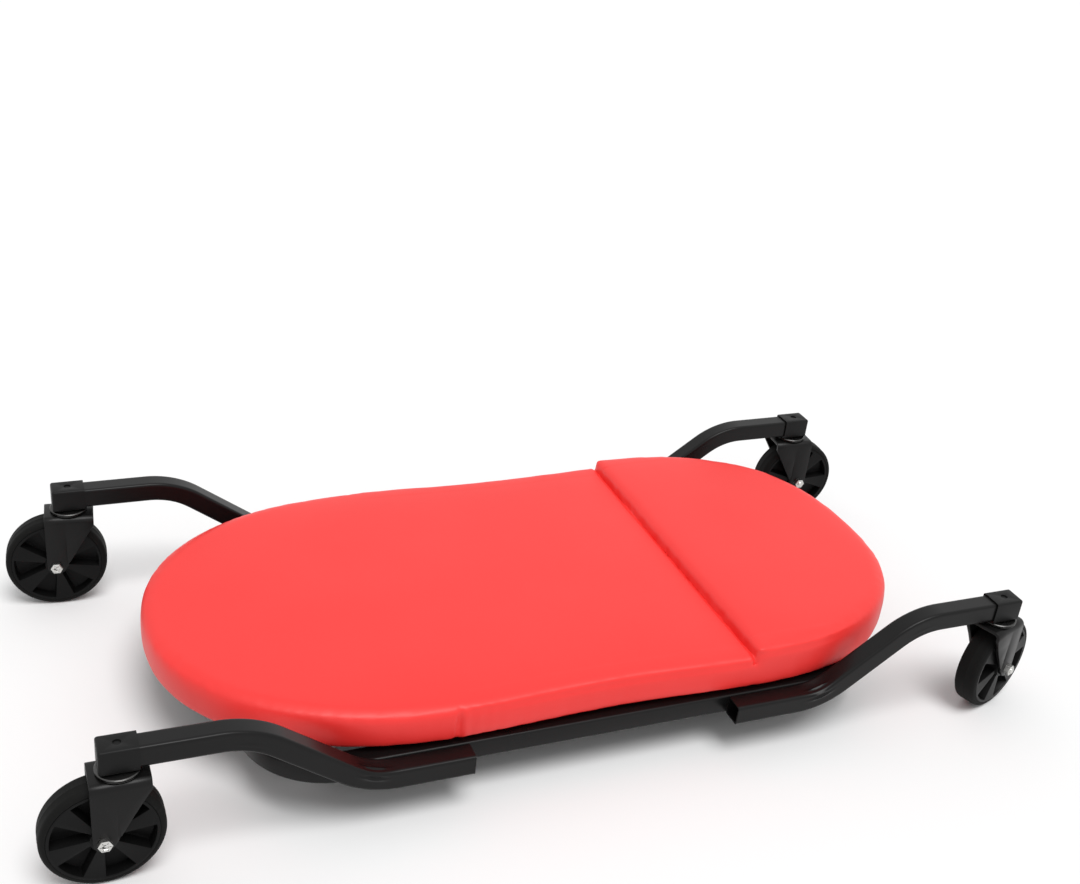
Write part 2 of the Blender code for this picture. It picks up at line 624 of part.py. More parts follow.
def bearing_mesh():
    """The swivel bearing's ring, round the kingpin above the fork."""
    outer = BEARING_DIAMETER / 2
    bore = KINGPIN_HOLE / 2
    low, high = BEARING_BOTTOM_Z, BEARING_BOTTOM_Z + BEARING_HEIGHT
    profile = [(bore, low), (outer - BEARING_CHAMFER, low), (outer, low + BEARING_CHAMFER),
               (outer, high - BEARING_CHAMFER), (outer - BEARING_CHAMFER, high), (bore, high)]
    return mesh_of("swivel_bearing", turned(profile, RING_SIDES))


def kingpin_mesh():
    """The kingpin: its head under the fork's crown, its shank up through the arm into the cap's top."""
    head_top = FORK_CROWN_BOTTOM_Z - RUNNING_GAP
    shape = cylinder(KINGPIN_HEAD_DIAMETER, head_top - KINGPIN_HEAD_HEIGHT, head_top)
    grow_shank(shape, KINGPIN_DIAMETER, head_top, CAP_TOP_Z - KINGPIN_SINK)
    return mesh_of("kingpin", shape)


def drilled_nut(name, across_flats, low, high, bore):
    """A hexagon nut along Z."""
    shape = hexagon(across_flats, low, high)
    return carved(name, shape, [cylinder(bore, low - (high - low), high + (high - low))])


def axle_bolt_mesh():
    """The axle bolt about its own Z: the head outside one leg, the thread through the nut on the other."""
    head_top = -FORK_HALF_WIDTH - SEAT_GAP
    shape = hexagon(AXLE_HEAD_ACROSS, head_top - AXLE_HEAD_HEIGHT, head_top)
    thread_end = FORK_HALF_WIDTH + SEAT_GAP + AXLE_NUT_HEIGHT + AXLE_THREAD_END
    grow_shank(shape, AXLE_DIAMETER, head_top, thread_end)
    return mesh_of("axle_bolt", shape)


def sleeve_mesh():
    """The tube that the axle bolt clamps between the legs, on which the wheel turns."""
    half = FORK_GAP / 2 - SEAT_GAP
    profile = [(SLEEVE_BORE / 2, -half), (SLEEVE_DIAMETER / 2, -half),
               (SLEEVE_DIAMETER / 2, half), (SLEEVE_BORE / 2, half)]
    return mesh_of("axle_sleeve", turned(profile, ROUND_SIDES))


def add_corners():
    """The four arms with their caps and casters."""
    arm, cap = arm_mesh(), cap_mesh()
    nut_low = ARM_UPPER_Z - TUBE / 2 + TUBE_WALL + SEAT_GAP
    fixed = {
        "kingpin": (kingpin_mesh(), ZINC),
        "kingpin_nut": (drilled_nut("kingpin_nut", KINGPIN_NUT_ACROSS, nut_low, nut_low + KINGPIN_NUT_HEIGHT,
                                    KINGPIN_HOLE), ZINC),
        "swivel_bearing": (bearing_mesh(), ZINC),
    }
    nut_bottom = FORK_HALF_WIDTH + SEAT_GAP
    fork = fork_mesh()
    on_axle = {
        "axle_bolt": (axle_bolt_mesh(), ZINC),
        "axle_nut": (drilled_nut("axle_nut", AXLE_HEAD_ACROSS, nut_bottom, nut_bottom + AXLE_NUT_HEIGHT,
                                 SLEEVE_BORE), ZINC),
        "axle_sleeve": (sleeve_mesh(), ZINC),
    }
    core, tyre = wheel_core_mesh(), tyre_mesh()
    for corner, heading in CASTER_HEADING.items():
        at_foot, on_right = corner.startswith("foot"), corner.endswith("right")
        add(corner + "_arm", mirrored(arm, at_foot, on_right), PAINT)
        add(corner + "_arm_cap", mirrored(cap, at_foot, on_right), CAP_PLASTIC)
        at = Matrix.Translation((-SWIVEL_X if at_foot else SWIVEL_X, ARM_Y if on_right else -ARM_Y, 0))
        for piece, (mesh, look) in fixed.items():
            add(f"{corner}_{piece}", mesh, look, at)
        swivel = add_axis(corner + "_swivel_axis", at @ Matrix.Rotation(math.radians(heading), 4, "Z"))
        add(corner + "_fork", fork, PAINT, parent=swivel)
        for piece, (mesh, look) in on_axle.items():
            add(f"{corner}_{piece}", mesh, look, axle_place(), swivel)
        axle = add_axis(corner + "_axle_axis", axle_place(), swivel)
        turn = Matrix.Rotation(math.radians(WHEEL_TURN[corner]), 4, "Z")
        add(corner + "_wheel_core", core, CORE_PLASTIC, turn, axle)
        add(corner + "_tyre", tyre, RUBBER, Matrix(), axle)


def main():
    for thing in list(bpy.data.objects):
        bpy.data.objects.remove(thing)
    add_frame()
    add_pad()
    add_corners()


main()
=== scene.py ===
# %% [markdown]
# # Dressing a mechanic's creeper
# A creeper is the low padded board on which a mechanic rolls under a car. The CAD frame brings its
# solids, in metres and in their places. Each step of this lesson gives some of them their real
# surface: vinyl stretched over foam, painted tube, moulded wheels and plated bolts.

# %% Load the frame
import json
import math

import bmesh
import bpy
from mathutils import Matrix, Vector, noise


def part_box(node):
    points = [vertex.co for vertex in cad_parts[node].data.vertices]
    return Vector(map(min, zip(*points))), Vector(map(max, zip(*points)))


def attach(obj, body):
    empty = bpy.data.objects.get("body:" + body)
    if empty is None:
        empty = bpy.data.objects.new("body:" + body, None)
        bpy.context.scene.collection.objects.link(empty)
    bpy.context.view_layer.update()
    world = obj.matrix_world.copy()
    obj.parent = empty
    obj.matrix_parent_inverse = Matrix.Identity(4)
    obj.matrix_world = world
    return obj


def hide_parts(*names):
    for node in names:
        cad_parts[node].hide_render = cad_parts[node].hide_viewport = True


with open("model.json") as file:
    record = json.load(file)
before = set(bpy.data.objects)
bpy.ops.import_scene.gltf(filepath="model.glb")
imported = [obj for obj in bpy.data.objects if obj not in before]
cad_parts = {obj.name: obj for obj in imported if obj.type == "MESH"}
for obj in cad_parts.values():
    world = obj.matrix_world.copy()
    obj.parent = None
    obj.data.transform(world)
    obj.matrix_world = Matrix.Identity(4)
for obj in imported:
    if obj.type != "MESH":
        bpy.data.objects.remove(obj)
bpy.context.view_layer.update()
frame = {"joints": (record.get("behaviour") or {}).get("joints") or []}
scene = bpy.context.scene
scene.view_settings.view_transform = "Standard"

# %% [markdown]
# ## The camera
# The photograph was taken from the foot end's near side, a little over a metre up and slightly
# tilted. A camera's place and turn could be set by eye, but they were found by fitting known points
# of the frame to the photograph, so the numbers here are those of that fit.

# %% Set up the camera
IMAGE_WIDTH = 1080
FOCAL_PIXELS = 1373.4
CAMERA_AT = (-0.6376, -1.3548, 1.0756)
CAMERA_YAW = 24.92
CAMERA_PITCH = 27.09
CAMERA_ROLL = 6.50

lens = bpy.data.cameras.new("photo_camera")
lens.sensor_fit = "HORIZONTAL"
lens.lens = lens.sensor_width * FOCAL_PIXELS / IMAGE_WIDTH
camera = bpy.data.objects.new("photo_camera", lens)
scene.collection.objects.link(camera)
look = Matrix.Rotation(math.radians(-CAMERA_YAW), 4, "Z")
look = look @ Matrix.Rotation(math.radians(90 - CAMERA_PITCH), 4, "X")
look = look @ Matrix.Rotation(math.radians(CAMERA_ROLL), 4, "Z")
camera.matrix_world = Matrix.Translation(CAMERA_AT) @ look
scene.camera = camera
print("the lens is", round(lens.lens, 1), "mm")

# %% [markdown]
# ## Floor and light
# The object stands on a white sweep. The floor is a large pale plane that takes the contact shadow.
# It is white to the camera and in reflections, and greyer to the light that it throws back, so that
# undersides stay dark. The world is white in the same way. One broad lamp overhead, a little to the
# near side, makes the tops brighter than the walls and draws a soft line along rounded edges.

# %% Build the stage
FLOOR_SIZE = 40.0
FLOOR_COLOUR = (0.93, 0.93, 0.93, 1.0)
FLOOR_BOUNCE = (0.78, 0.78, 0.78, 1.0)


def set_inputs(node, values):
    """Sets sockets of a node by their labels."""
    for label, value in values.items():
        node.inputs[label].default_value = value


def shown_rays(tree):
    """A value that is 1 on the rays that show a background: straight, in a gloss or through glass."""
    path = tree.nodes.new("ShaderNodeLightPath")
    shown = path.outputs["Is Camera Ray"]
    for kind in ("Is Glossy Ray", "Is Transmission Ray"):
        either = tree.nodes.new("ShaderNodeMath")
        either.operation = "MAXIMUM"
        tree.links.new(shown, either.inputs[0])
        tree.links.new(path.outputs[kind], either.inputs[1])
        shown = either.outputs[0]
    return shown


sweep = bmesh.new()
bmesh.ops.create_grid(sweep, x_segments=1, y_segments=1, size=FLOOR_SIZE / 2)
floor_mesh = bpy.data.meshes.new("floor")
sweep.to_mesh(floor_mesh)
sweep.free()
floor = bpy.data.objects.new("floor", floor_mesh)
scene.collection.objects.link(floor)
floor_finish = bpy.data.materials.new("pale_floor")
floor_finish.use_nodes = True
floor_tree = floor_finish.node_tree
floor_shader = floor_tree.nodes["Principled BSDF"]
set_inputs(floor_shader, {"Roughness": 0.9, "Specular IOR Level": 0.1})
paper = floor_tree.nodes.new("ShaderNodeMix")
paper.data_type = "RGBA"
set_inputs(paper, {"A": FLOOR_BOUNCE, "B": FLOOR_COLOUR})
floor_tree.links.new(shown_rays(floor_tree), paper.inputs["Factor"])
floor_tree.links.new(paper.outputs["Result"], floor_shader.inputs["Base Color"])
floor_mesh.materials.append(floor_finish)
print("the floor is", FLOOR_SIZE, "m wide")

# %% Light the stage
WORLD_LIGHT = 0.60
KEY_FROM = Vector((0.15, -1.05, 2.6))
KEY_SPREAD = 32.0
KEY_STRENGTH = 1.75

world = bpy.data.worlds.new("white_room")
scene.world = world
world.use_nodes = True
sky = world.node_tree
background = sky.nodes["Background"]
set_inputs(background, {"Color": (1, 1, 1, 1)})
brightness = sky.nodes.new("ShaderNodeMapRange")
set_inputs(brightness, {"To Min": WORLD_LIGHT, "To Max": 1.0})
sky.links.new(shown_rays(sky), brightness.inputs["Value"])
sky.links.new(brightness.outputs["Result"], background.inputs["Strength"])

key = bpy.data.lights.new("key_lamp", "SUN")
key.angle = math.radians(KEY_SPREAD)
key.energy = KEY_STRENGTH
key_lamp = bpy.data.objects.new("key_lamp", key)
scene.collection.objects.link(key_lamp)
key_lamp.matrix_world = KEY_FROM.to_track_quat("Z", "Y").to_matrix().to_4x4()
print("a lamp of strength", KEY_STRENGTH, "in a world of", WORLD_LIGHT)

# %% [markdown]
# ## Shared effects
# Every finish here is a little uneven: handled, dusted, and covered with a fine grain of its own.
# Those two effects are node groups, built once, and each material places them with its own values.
# The shader itself stays in the material.


# %% Functions that add nodes
def new_group(name, takes, gives):
    """A shader node group with named sockets: its tree, what it takes and what it gives."""
    tree = bpy.data.node_groups.new(name, "ShaderNodeTree")
    for label, kind in takes:
        tree.interface.new_socket(label, in_out="INPUT", socket_type="NodeSocket" + kind)
    for label, kind in gives:
        tree.interface.new_socket(label, in_out="OUTPUT", socket_type="NodeSocket" + kind)
    return tree, tree.nodes.new("NodeGroupInput").outputs, tree.nodes.new("NodeGroupOutput").inputs


def add_noise(tree, vector, scale, detail):
    """A noise texture whose vector and scale come from other sockets, and its value."""
    texture = tree.nodes.new("ShaderNodeTexNoise")
    texture.inputs["Detail"].default_value = detail
    tree.links.new(vector, texture.inputs["Vector"])
    tree.links.new(scale, texture.inputs["Scale"])
    return texture.outputs["Fac"]


def add_math(tree, operation, first, second):
    """A maths node on two sockets or numbers, and its value."""
    node = tree.nodes.new("ShaderNodeMath")
    node.operation = operation
    for socket, value in zip(node.inputs, (first, second)):
        if isinstance(value, (int, float)):
            socket.default_value = value
        else:
            tree.links.new(value, socket)
    return node.outputs[0]


def add_mix(tree, share, first, second):
    """A colour between two colour sockets."""
    node = tree.nodes.new("ShaderNodeMix")
    node.data_type = "RGBA"
    tree.links.new(share, node.inputs["Factor"])
    tree.links.new(first, node.inputs["A"])
    tree.links.new(second, node.inputs["B"])
    return node.outputs["Result"]


# %% The handled surface
SPECK_FROM = 0.58
SPECK_CONTRAST = 6.0

handled, taken, given = new_group(
    "handled_surface",
    [("Vector", "Vector"), ("Colour", "Color"), ("Worn Colour", "Color"), ("Patch Scale", "Float"),
     ("Patch Amount", "Float"), ("Speck Scale", "Float"), ("Speck Amount", "Float"),
     ("Roughness", "Float"), ("Roughness Spread", "Float")],
    [("Colour", "Color"), ("Roughness", "Float")])
patch = add_noise(handled, taken["Vector"], taken["Patch Scale"], 4.0)
speck = add_noise(handled, taken["Vector"], taken["Speck Scale"], 2.0)
speck_mask = add_math(handled, "MULTIPLY", add_math(handled, "SUBTRACT", speck, SPECK_FROM), SPECK_CONTRAST)
speck_share = add_math(handled, "MULTIPLY", add_math(handled, "MAXIMUM", speck_mask, 0.0),
                       taken["Speck Amount"])
patch_share = add_math(handled, "MULTIPLY", patch, taken["Patch Amount"])
share = add_math(handled, "MINIMUM", add_math(handled, "ADD", patch_share, speck_share), 1.0)
handled.links.new(add_mix(handled, share, taken["Colour"], taken["Worn Colour"]), given["Colour"])
swing = add_math(handled, "MULTIPLY", add_math(handled, "SUBTRACT", patch, 0.5), taken["Roughness Spread"])
handled.links.new(add_math(handled, "ADD", taken["Roughness"], swing), given["Roughness"])
print("a group of", len(handled.nodes), "nodes:", handled.name)

# %% The fine grain
grain, taken, given = new_group(
    "fine_grain",
    [("Vector", "Vector"), ("Pebble Scale", "Float"), ("Pebble Amount", "Float"),
     ("Ripple Scale", "Float"), ("Ripple Amount", "Float")],
    [("Height", "Float")])
pebble = grain.nodes.new("ShaderNodeTexVoronoi")
pebble.feature = "SMOOTH_F1"
grain.links.new(taken["Vector"], pebble.inputs["Vector"])
grain.links.new(taken["Pebble Scale"], pebble.inputs["Scale"])
pebbles = add_math(grain, "MULTIPLY", pebble.outputs["Distance"], taken["Pebble Amount"])
ripple = add_noise(grain, taken["Vector"], taken["Ripple Scale"], 3.0)
ripples = add_math(grain, "MULTIPLY", ripple, taken["Ripple Amount"])
grain.links.new(add_math(grain, "ADD", pebbles, ripples), given["Height"])
print("a group of", len(grain.nodes), "nodes:", grain.name)

# %% [markdown]
# ## Finishes
# The creeper has seven finishes, and its swivel bearings wear a copy of one darkened as painted shade.
# Vinyl has a soft leather grain, powder coat a faint orange peel, moulded plastic a matt spark-eroded
# skin, rubber a dull bloom, and zinc plate a cloudy shine. One function lays both groups in a
# material, and each finish brings its own colours, and a scale and an amount for each effect.

# %% A function that makes a finish
FINISHES = {}
BUMP_STRENGTH = 0.5


def lay_group(tree, group, place, values):
    """Lays a node group in a material with its own values, and gives its outputs."""
    node = tree.nodes.new("ShaderNodeGroup")
    node.node_tree = group
    set_inputs(node, values)
    tree.links.new(place, node.inputs["Vector"])
    return node.outputs


def make_finish(slot, colour, worn, roughness, spread, patch, speck, pebble, ripple, depth,
                specular=0.5, metallic=0.0):
    """A material of a record slot with its uneven colour, roughness and grain."""
    material = bpy.data.materials.new(slot + "_finish")
    material.use_nodes = True
    tree = material.node_tree
    shader = tree.nodes["Principled BSDF"]
    set_inputs(shader, {"Metallic": metallic, "Specular IOR Level": specular})
    place = tree.nodes.new("ShaderNodeTexCoord").outputs["Object"]
    age = lay_group(tree, handled, place, {
        "Colour": (*colour, 1), "Worn Colour": (*worn, 1), "Patch Scale": patch[0],
        "Patch Amount": patch[1], "Speck Scale": speck[0], "Speck Amount": speck[1],
        "Roughness": roughness, "Roughness Spread": spread})
    skin = lay_group(tree, grain, place, {
        "Pebble Scale": pebble[0], "Pebble Amount": pebble[1],
        "Ripple Scale": ripple[0], "Ripple Amount": ripple[1]})
    bump = tree.nodes.new("ShaderNodeBump")
    set_inputs(bump, {"Strength": BUMP_STRENGTH, "Distance": depth})
    tree.links.new(skin["Height"], bump.inputs["Height"])
    tree.links.new(age["Colour"], shader.inputs["Base Color"])
    tree.links.new(age["Roughness"], shader.inputs["Roughness"])
    tree.links.new(bump.outputs["Normal"], shader.inputs["Normal"])
    FINISHES[slot] = material


# %% Make the finishes
make_finish("red_vinyl", (0.90, 0.033, 0.029), (0.85, 0.026, 0.023), 0.44, spread=0.08,
            patch=(7, 0.6), speck=(160, 0.12), pebble=(620, 0.6), ripple=(1800, 0.25), depth=0.00022)
make_finish("black_paint", (0.004, 0.004, 0.004), (0.011, 0.010, 0.010), 0.30, spread=0.16,
            specular=0.19, patch=(14, 0.35), speck=(420, 0.25), pebble=(260, 0.3), ripple=(520, 0.5),
            depth=0.00006)
make_finish("black_board", (0.005, 0.005, 0.005), (0.016, 0.014, 0.012), 0.80, spread=0.2,
            specular=0.10, patch=(30, 0.5), speck=(260, 0.4), pebble=(420, 0.6), ripple=(90, 0.6),
            depth=0.0003)
make_finish("black_cap_plastic", (0.004, 0.004, 0.004), (0.010, 0.010, 0.010), 0.46, spread=0.14,
            specular=0.17, patch=(25, 0.35), speck=(700, 0.2), pebble=(1500, 0.7), ripple=(900, 0.3),
            depth=0.00008)
make_finish("black_core_plastic", (0.003, 0.003, 0.003), (0.009, 0.009, 0.009), 0.40, spread=0.16,
            specular=0.12, patch=(22, 0.4), speck=(500, 0.25), pebble=(1300, 0.6), ripple=(300, 0.4),
            depth=0.00008)
make_finish("black_rubber", (0.004, 0.004, 0.004), (0.012, 0.012, 0.011), 0.66, spread=0.2,
            specular=0.10, patch=(18, 0.5), speck=(330, 0.45), pebble=(1000, 0.5), ripple=(200, 0.5),
            depth=0.00014)
make_finish("zinc_plate", (0.70, 0.70, 0.69), (0.52, 0.51, 0.47), 0.28, metallic=1.0, spread=0.25,
            patch=(90, 0.8), speck=(800, 0.3), pebble=(2500, 0.2), ripple=(900, 0.4), depth=0.00004)
# A much darker copy of zinc plate: painted shade for the bearings that sit under the arm caps.
make_finish("shaded_zinc", (0.10, 0.10, 0.10), (0.035, 0.033, 0.030), 0.30, metallic=1.0, spread=0.25,
            patch=(60, 0.8), speck=(500, 0.5), pebble=(2000, 0.2), ripple=(700, 0.5), depth=0.00005)
print("finishes:", ", ".join(FINISHES))

# %% [markdown]
# ## From a shape to a piece
# Each shape below is a bmesh. To become part of the object it needs a mesh, a finish, a body that
# carries it, and the names of the CAD nodes that it stands for, so one function does all of that.
# Four more are short names for what nearly every shape needs.


# %% Functions that finish a shape
def move(shape, way):
    """Shifts a whole shape."""
    bmesh.ops.translate(shape, verts=shape.verts, vec=way)


def face_out(shape):
    """Turns every face of a shape outwards."""
    bmesh.ops.recalc_face_normals(shape, faces=shape.faces)


def creases(shape, angle):
    """Edges at which a shape turns by more than an angle."""
    return [edge for edge in shape.edges if edge.calc_face_angle(0) > angle]


def round_edges(shape, edges, offset, segments=2, clamp=False):
    """Rounds edges of a shape off."""
    bmesh.ops.bevel(shape, geom=edges, offset=offset, segments=segments, profile=0.5, affect="EDGES",
                    material=-1, clamp_overlap=clamp)


def add_piece(name, shape, slot, body, *nodes, sharp=38, finish=None):
    """Makes an object of a bmesh in place and rides it on a body.

    It stands for the CAD nodes that are named, or else for the one that has its own name.
    """
    bmesh.ops.remove_doubles(shape, verts=shape.verts, dist=5e-6)
    face_out(shape)
    mesh = bpy.data.meshes.new(name)
    shape.to_mesh(mesh)
    shape.free()
    mesh.materials.append(FINISHES[finish or slot])
    mesh.shade_smooth()
    mesh.set_sharp_from_angle(angle=math.radians(sharp))
    piece = bpy.data.objects.new(name, mesh)
    scene.collection.objects.link(piece)
    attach(piece, body)
    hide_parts(*(nodes or (name,)))
    return piece


# %% [markdown]
# ## The tube frame
# The frame is one square tube, bent at four corners and welded shut. The CAD cuts it into rails and
# bows. Here a rounded square is drawn once, and its edges are pulled along each side and spun round
# each corner until they come back to where they began, so the paint runs on without a joint.

# %% A rounded square, and how a tube grows from it
rail_low, rail_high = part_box("left_rail")
TUBE = rail_high.z - rail_low.z
TUBE_CORNER = 0.0032


def rounded_square(width, corner, cuts=0):
    """A square face in the YZ plane with rounded corners, its sides cut into equal lengths."""
    shape = bmesh.new()
    stand = Matrix.Rotation(math.pi / 2, 4, "Y")
    bmesh.ops.create_grid(shape, x_segments=1, y_segments=1, size=width / 2, matrix=stand)
    bmesh.ops.bevel(shape, geom=list(shape.verts), offset=corner, segments=4, profile=0.5,
                    affect="VERTICES", material=-1)
    if cuts:
        sides = [edge for edge in shape.edges if edge.calc_length() > width / 2]
        bmesh.ops.subdivide_edges(shape, edges=sides, cuts=cuts)
    return shape


def picked(result, kind, key="geom"):
    """The vertices, edges or faces in what an operator gave back."""
    return [item for item in result[key] if isinstance(item, kind)]


def pull(shape, edges, way):
    """Extrudes edges straight along a way, and gives the new edges."""
    grown = bmesh.ops.extrude_edge_only(shape, edges=edges)
    bmesh.ops.translate(shape, verts=picked(grown, bmesh.types.BMVert), vec=way)
    return picked(grown, bmesh.types.BMEdge)


def swing_round(shape, edges, centre, axis, angle, steps):
    """Spins edges round a centre, and gives the new edges."""
    ends = list({vert for edge in edges for vert in edge.verts})
    grown = bmesh.ops.spin(shape, geom=ends + edges, cent=centre, axis=axis, angle=angle, steps=steps)
    return picked(grown, bmesh.types.BMEdge, "geom_last")


print("the tube is", round(TUBE, 4), "m square")

# %% Bend the frame
bow_low, bow_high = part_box("head_bow")
FRAME_Z = (rail_low.z + rail_high.z) / 2
RAIL_Y = -(rail_low.y + rail_high.y) / 2
BEND_X = bow_low.x
BEND_RADIUS = bow_high.x - TUBE / 2 - BEND_X
BEND_Y = RAIL_Y - BEND_RADIUS
BEND_STEPS = 20

loop = rounded_square(TUBE, TUBE_CORNER)
move(loop, (-BEND_X, -RAIL_Y, FRAME_Z))
bmesh.ops.delete(loop, geom=list(loop.faces), context="FACES_ONLY")
end = list(loop.edges)
for way, x, y in (((2 * BEND_X, 0, 0), BEND_X, -BEND_Y), ((0, 2 * BEND_Y, 0), BEND_X, BEND_Y),
                  ((-2 * BEND_X, 0, 0), -BEND_X, BEND_Y), ((0, -2 * BEND_Y, 0), -BEND_X, -BEND_Y)):
    end = pull(loop, end, way)
    end = swing_round(loop, end, (x, y, FRAME_Z), (0, 0, 1), math.pi / 2, BEND_STEPS)
frame_loop = add_piece("frame_loop", loop, "black_paint", "frame",
                       "left_rail", "right_rail", "foot_bow", "head_bow")
print("the frame loop has", len(frame_loop.data.polygons), "faces")


# %% Cross tubes
def grow_faces(shape, faces, way):
    """Extrudes faces straight along a way, and gives the new faces."""
    edges = list({edge for face in faces for edge in face.edges})
    grown = bmesh.ops.extrude_face_region(shape, geom=faces + edges)
    bmesh.ops.translate(shape, verts=picked(grown, bmesh.types.BMVert), vec=way)
    return picked(grown, bmesh.types.BMFace)


for name in ("foot_cross_tube", "head_cross_tube"):
    low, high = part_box(name)
    bar = rounded_square(TUBE, TUBE_CORNER)
    bmesh.ops.rotate(bar, verts=bar.verts, cent=(0, 0, 0), matrix=Matrix.Rotation(math.pi / 2, 3, "Z"))
    move(bar, ((low.x + high.x) / 2, low.y, FRAME_Z))
    grow_faces(bar, list(bar.faces), (0, high.y - low.y, 0))
    add_piece(name, bar, "black_paint", "frame")
print("two cross tubes,", round(high.y - low.y, 3), "m long")

# %% [markdown]
# ## The arms
# Each arm is welded flat against a rail, rises in an S-bend and carries a caster. Square tube that is
# bent tightly doesn't stay square: its inner wall sinks and the outer side wall wrinkles. So the
# section is cut finely, bent, and then pressed a little out of shape inside the two bends.

# %% Sizes of an arm
arm_low, arm_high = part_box("head_left_arm")
ARM_Y = (arm_low.y + arm_high.y) / 2
ARM_LOW_Z = arm_low.z + TUBE / 2
ARM_TOP_Z = arm_high.z - TUBE / 2
ARM_LOWER_BEND_X = 0.285
ARM_UPPER_BEND_X = 0.411
ARM_BEND_RADIUS = 0.105

arm_rise = ARM_TOP_Z - ARM_LOW_Z
ARM_ANGLE = math.atan2(arm_rise, ARM_UPPER_BEND_X - ARM_LOWER_BEND_X)
arm_setback = ARM_BEND_RADIUS * math.tan(ARM_ANGLE / 2)
ARM_SLOPE = math.hypot(arm_rise, ARM_UPPER_BEND_X - ARM_LOWER_BEND_X) - 2 * arm_setback
LOWER_BEND = Vector((ARM_LOWER_BEND_X - arm_setback, ARM_Y, ARM_LOW_Z + ARM_BEND_RADIUS))
UPPER_BEND = Vector((ARM_UPPER_BEND_X + arm_setback, ARM_Y, ARM_TOP_Z - ARM_BEND_RADIUS))
print("an arm rises at", round(math.degrees(ARM_ANGLE), 1), "degrees")

# %% How a bend is pressed
ARM_SINK = 0.0022
SINK_POWER = 6
ARM_WRINKLE = 0.0022
PLEAT_AT = -0.35
PLEAT_HALF = 0.12
WRINKLES = (0.62, 0.84)
WRINKLE_HALF = 0.06
OUTER_SIDE = -0.8


def bell(distance, half):
    """A smooth bump: 1 at no distance, and nearly 0 beyond twice the half width."""
    return math.exp(-(distance / half) ** 2)


def press_bend(shape, centre, way, wrinkle):
    """Sinks a bend's inner wall and wrinkles its outer side; way is 1 where the tube bends up."""
    for vert in shape.verts:
        along = way * (vert.co.x - centre.x)
        out = way * (centre.z - vert.co.z)
        share = math.atan2(along, out) / ARM_ANGLE
        radius = math.hypot(along, out)
        if not 0 < share < 1 or radius > ARM_BEND_RADIUS + TUBE:
            continue
        middle = math.sin(math.pi * share) ** 2
        inner = min(max((ARM_BEND_RADIUS + TUBE / 2 - radius) / TUBE, 0.0), 1.0)
        side = (vert.co.y - ARM_Y) / (TUBE / 2)
        sink = ARM_SINK * max(0.0, 1 - side ** 2)
        sink -= wrinkle * middle * bell(side - PLEAT_AT, PLEAT_HALF)
        vert.co.x += way * along / radius * sink * middle * inner ** SINK_POWER
        vert.co.z -= way * out / radius * sink * middle * inner ** SINK_POWER
        if side < OUTER_SIDE:
            ridge = sum(bell(inner - place, WRINKLE_HALF) for place in WRINKLES)
            vert.co.y -= wrinkle * middle ** 2 * ridge


print("the bends sink by", ARM_SINK, "m at most")

# %% Bend the arms
CORNERS = ("foot_left", "foot_right", "head_left", "head_right")
TUBE_WALL = 0.002
ARM_STEPS = 18
ARM_CUTS = 11


def spin_faces(shape, faces, centre, axis, angle, steps):
    """Spins faces round a centre, and gives the new faces."""
    edges = list({edge for face in faces for edge in face.edges})
    grown = bmesh.ops.spin(shape, geom=faces + edges, cent=centre, axis=axis, angle=angle, steps=steps)
    return picked(grown, bmesh.types.BMFace, "geom_last")


def arm_shape():
    """The head left arm from its open inner end to its outer end."""
    shape = rounded_square(TUBE, TUBE_CORNER, cuts=ARM_CUTS)
    inside = list(shape.faces)
    bmesh.ops.inset_region(shape, faces=inside, thickness=TUBE_WALL, use_boundary=True, use_even_offset=True)
    bmesh.ops.delete(shape, geom=inside, context="FACES")
    move(shape, (arm_low.x, ARM_Y, ARM_LOW_Z))
    end = grow_faces(shape, list(shape.faces), (LOWER_BEND.x - arm_low.x, 0, 0))
    end = spin_faces(shape, end, LOWER_BEND, (0, -1, 0), ARM_ANGLE, ARM_STEPS)
    end = grow_faces(shape, end, (ARM_SLOPE * math.cos(ARM_ANGLE), 0, ARM_SLOPE * math.sin(ARM_ANGLE)))
    end = spin_faces(shape, end, UPPER_BEND, (0, 1, 0), ARM_ANGLE, ARM_STEPS)
    grow_faces(shape, end, (arm_high.x - UPPER_BEND.x, 0, 0))
    press_bend(shape, LOWER_BEND, 1, ARM_WRINKLE)
    press_bend(shape, UPPER_BEND, -1, ARM_WRINKLE / 6)
    return shape


def at_corner(shape, corner):
    """Mirrors a head left shape to another corner."""
    flip = (-1 if corner.startswith("foot") else 1, -1 if corner.endswith("right") else 1, 1)
    bmesh.ops.scale(shape, vec=flip, verts=shape.verts)
    return shape


for corner in CORNERS:
    add_piece(corner + "_arm", at_corner(arm_shape(), corner), "black_paint", "frame")
print("four arms")

# %% [markdown]
# ## The arm caps
# A moulded sleeve closes the outer end of each arm, and the caster's pin goes up through it. The
# sleeve is a rounded square pulled along the arm. A ring is cut into its top, so that the sunk end of
# the pin shows as a dark round spot.

# %% Mould the caps
CAP_ROUND = 0.0028
CAP_LIP = 0.0022
CAP_LIP_DEPTH = 0.001
BORE_RADIUS = 0.0042
BORE_DEPTH = 0.0016
BORE_ROUND = 0.0005


def joint_place(name):
    """Where a joint of the frame is."""
    return Vector(next(joint["pos_m"] for joint in frame["joints"] if joint["name"] == name))


swivels = {corner: joint_place(corner + "_swivel") for corner in CORNERS}


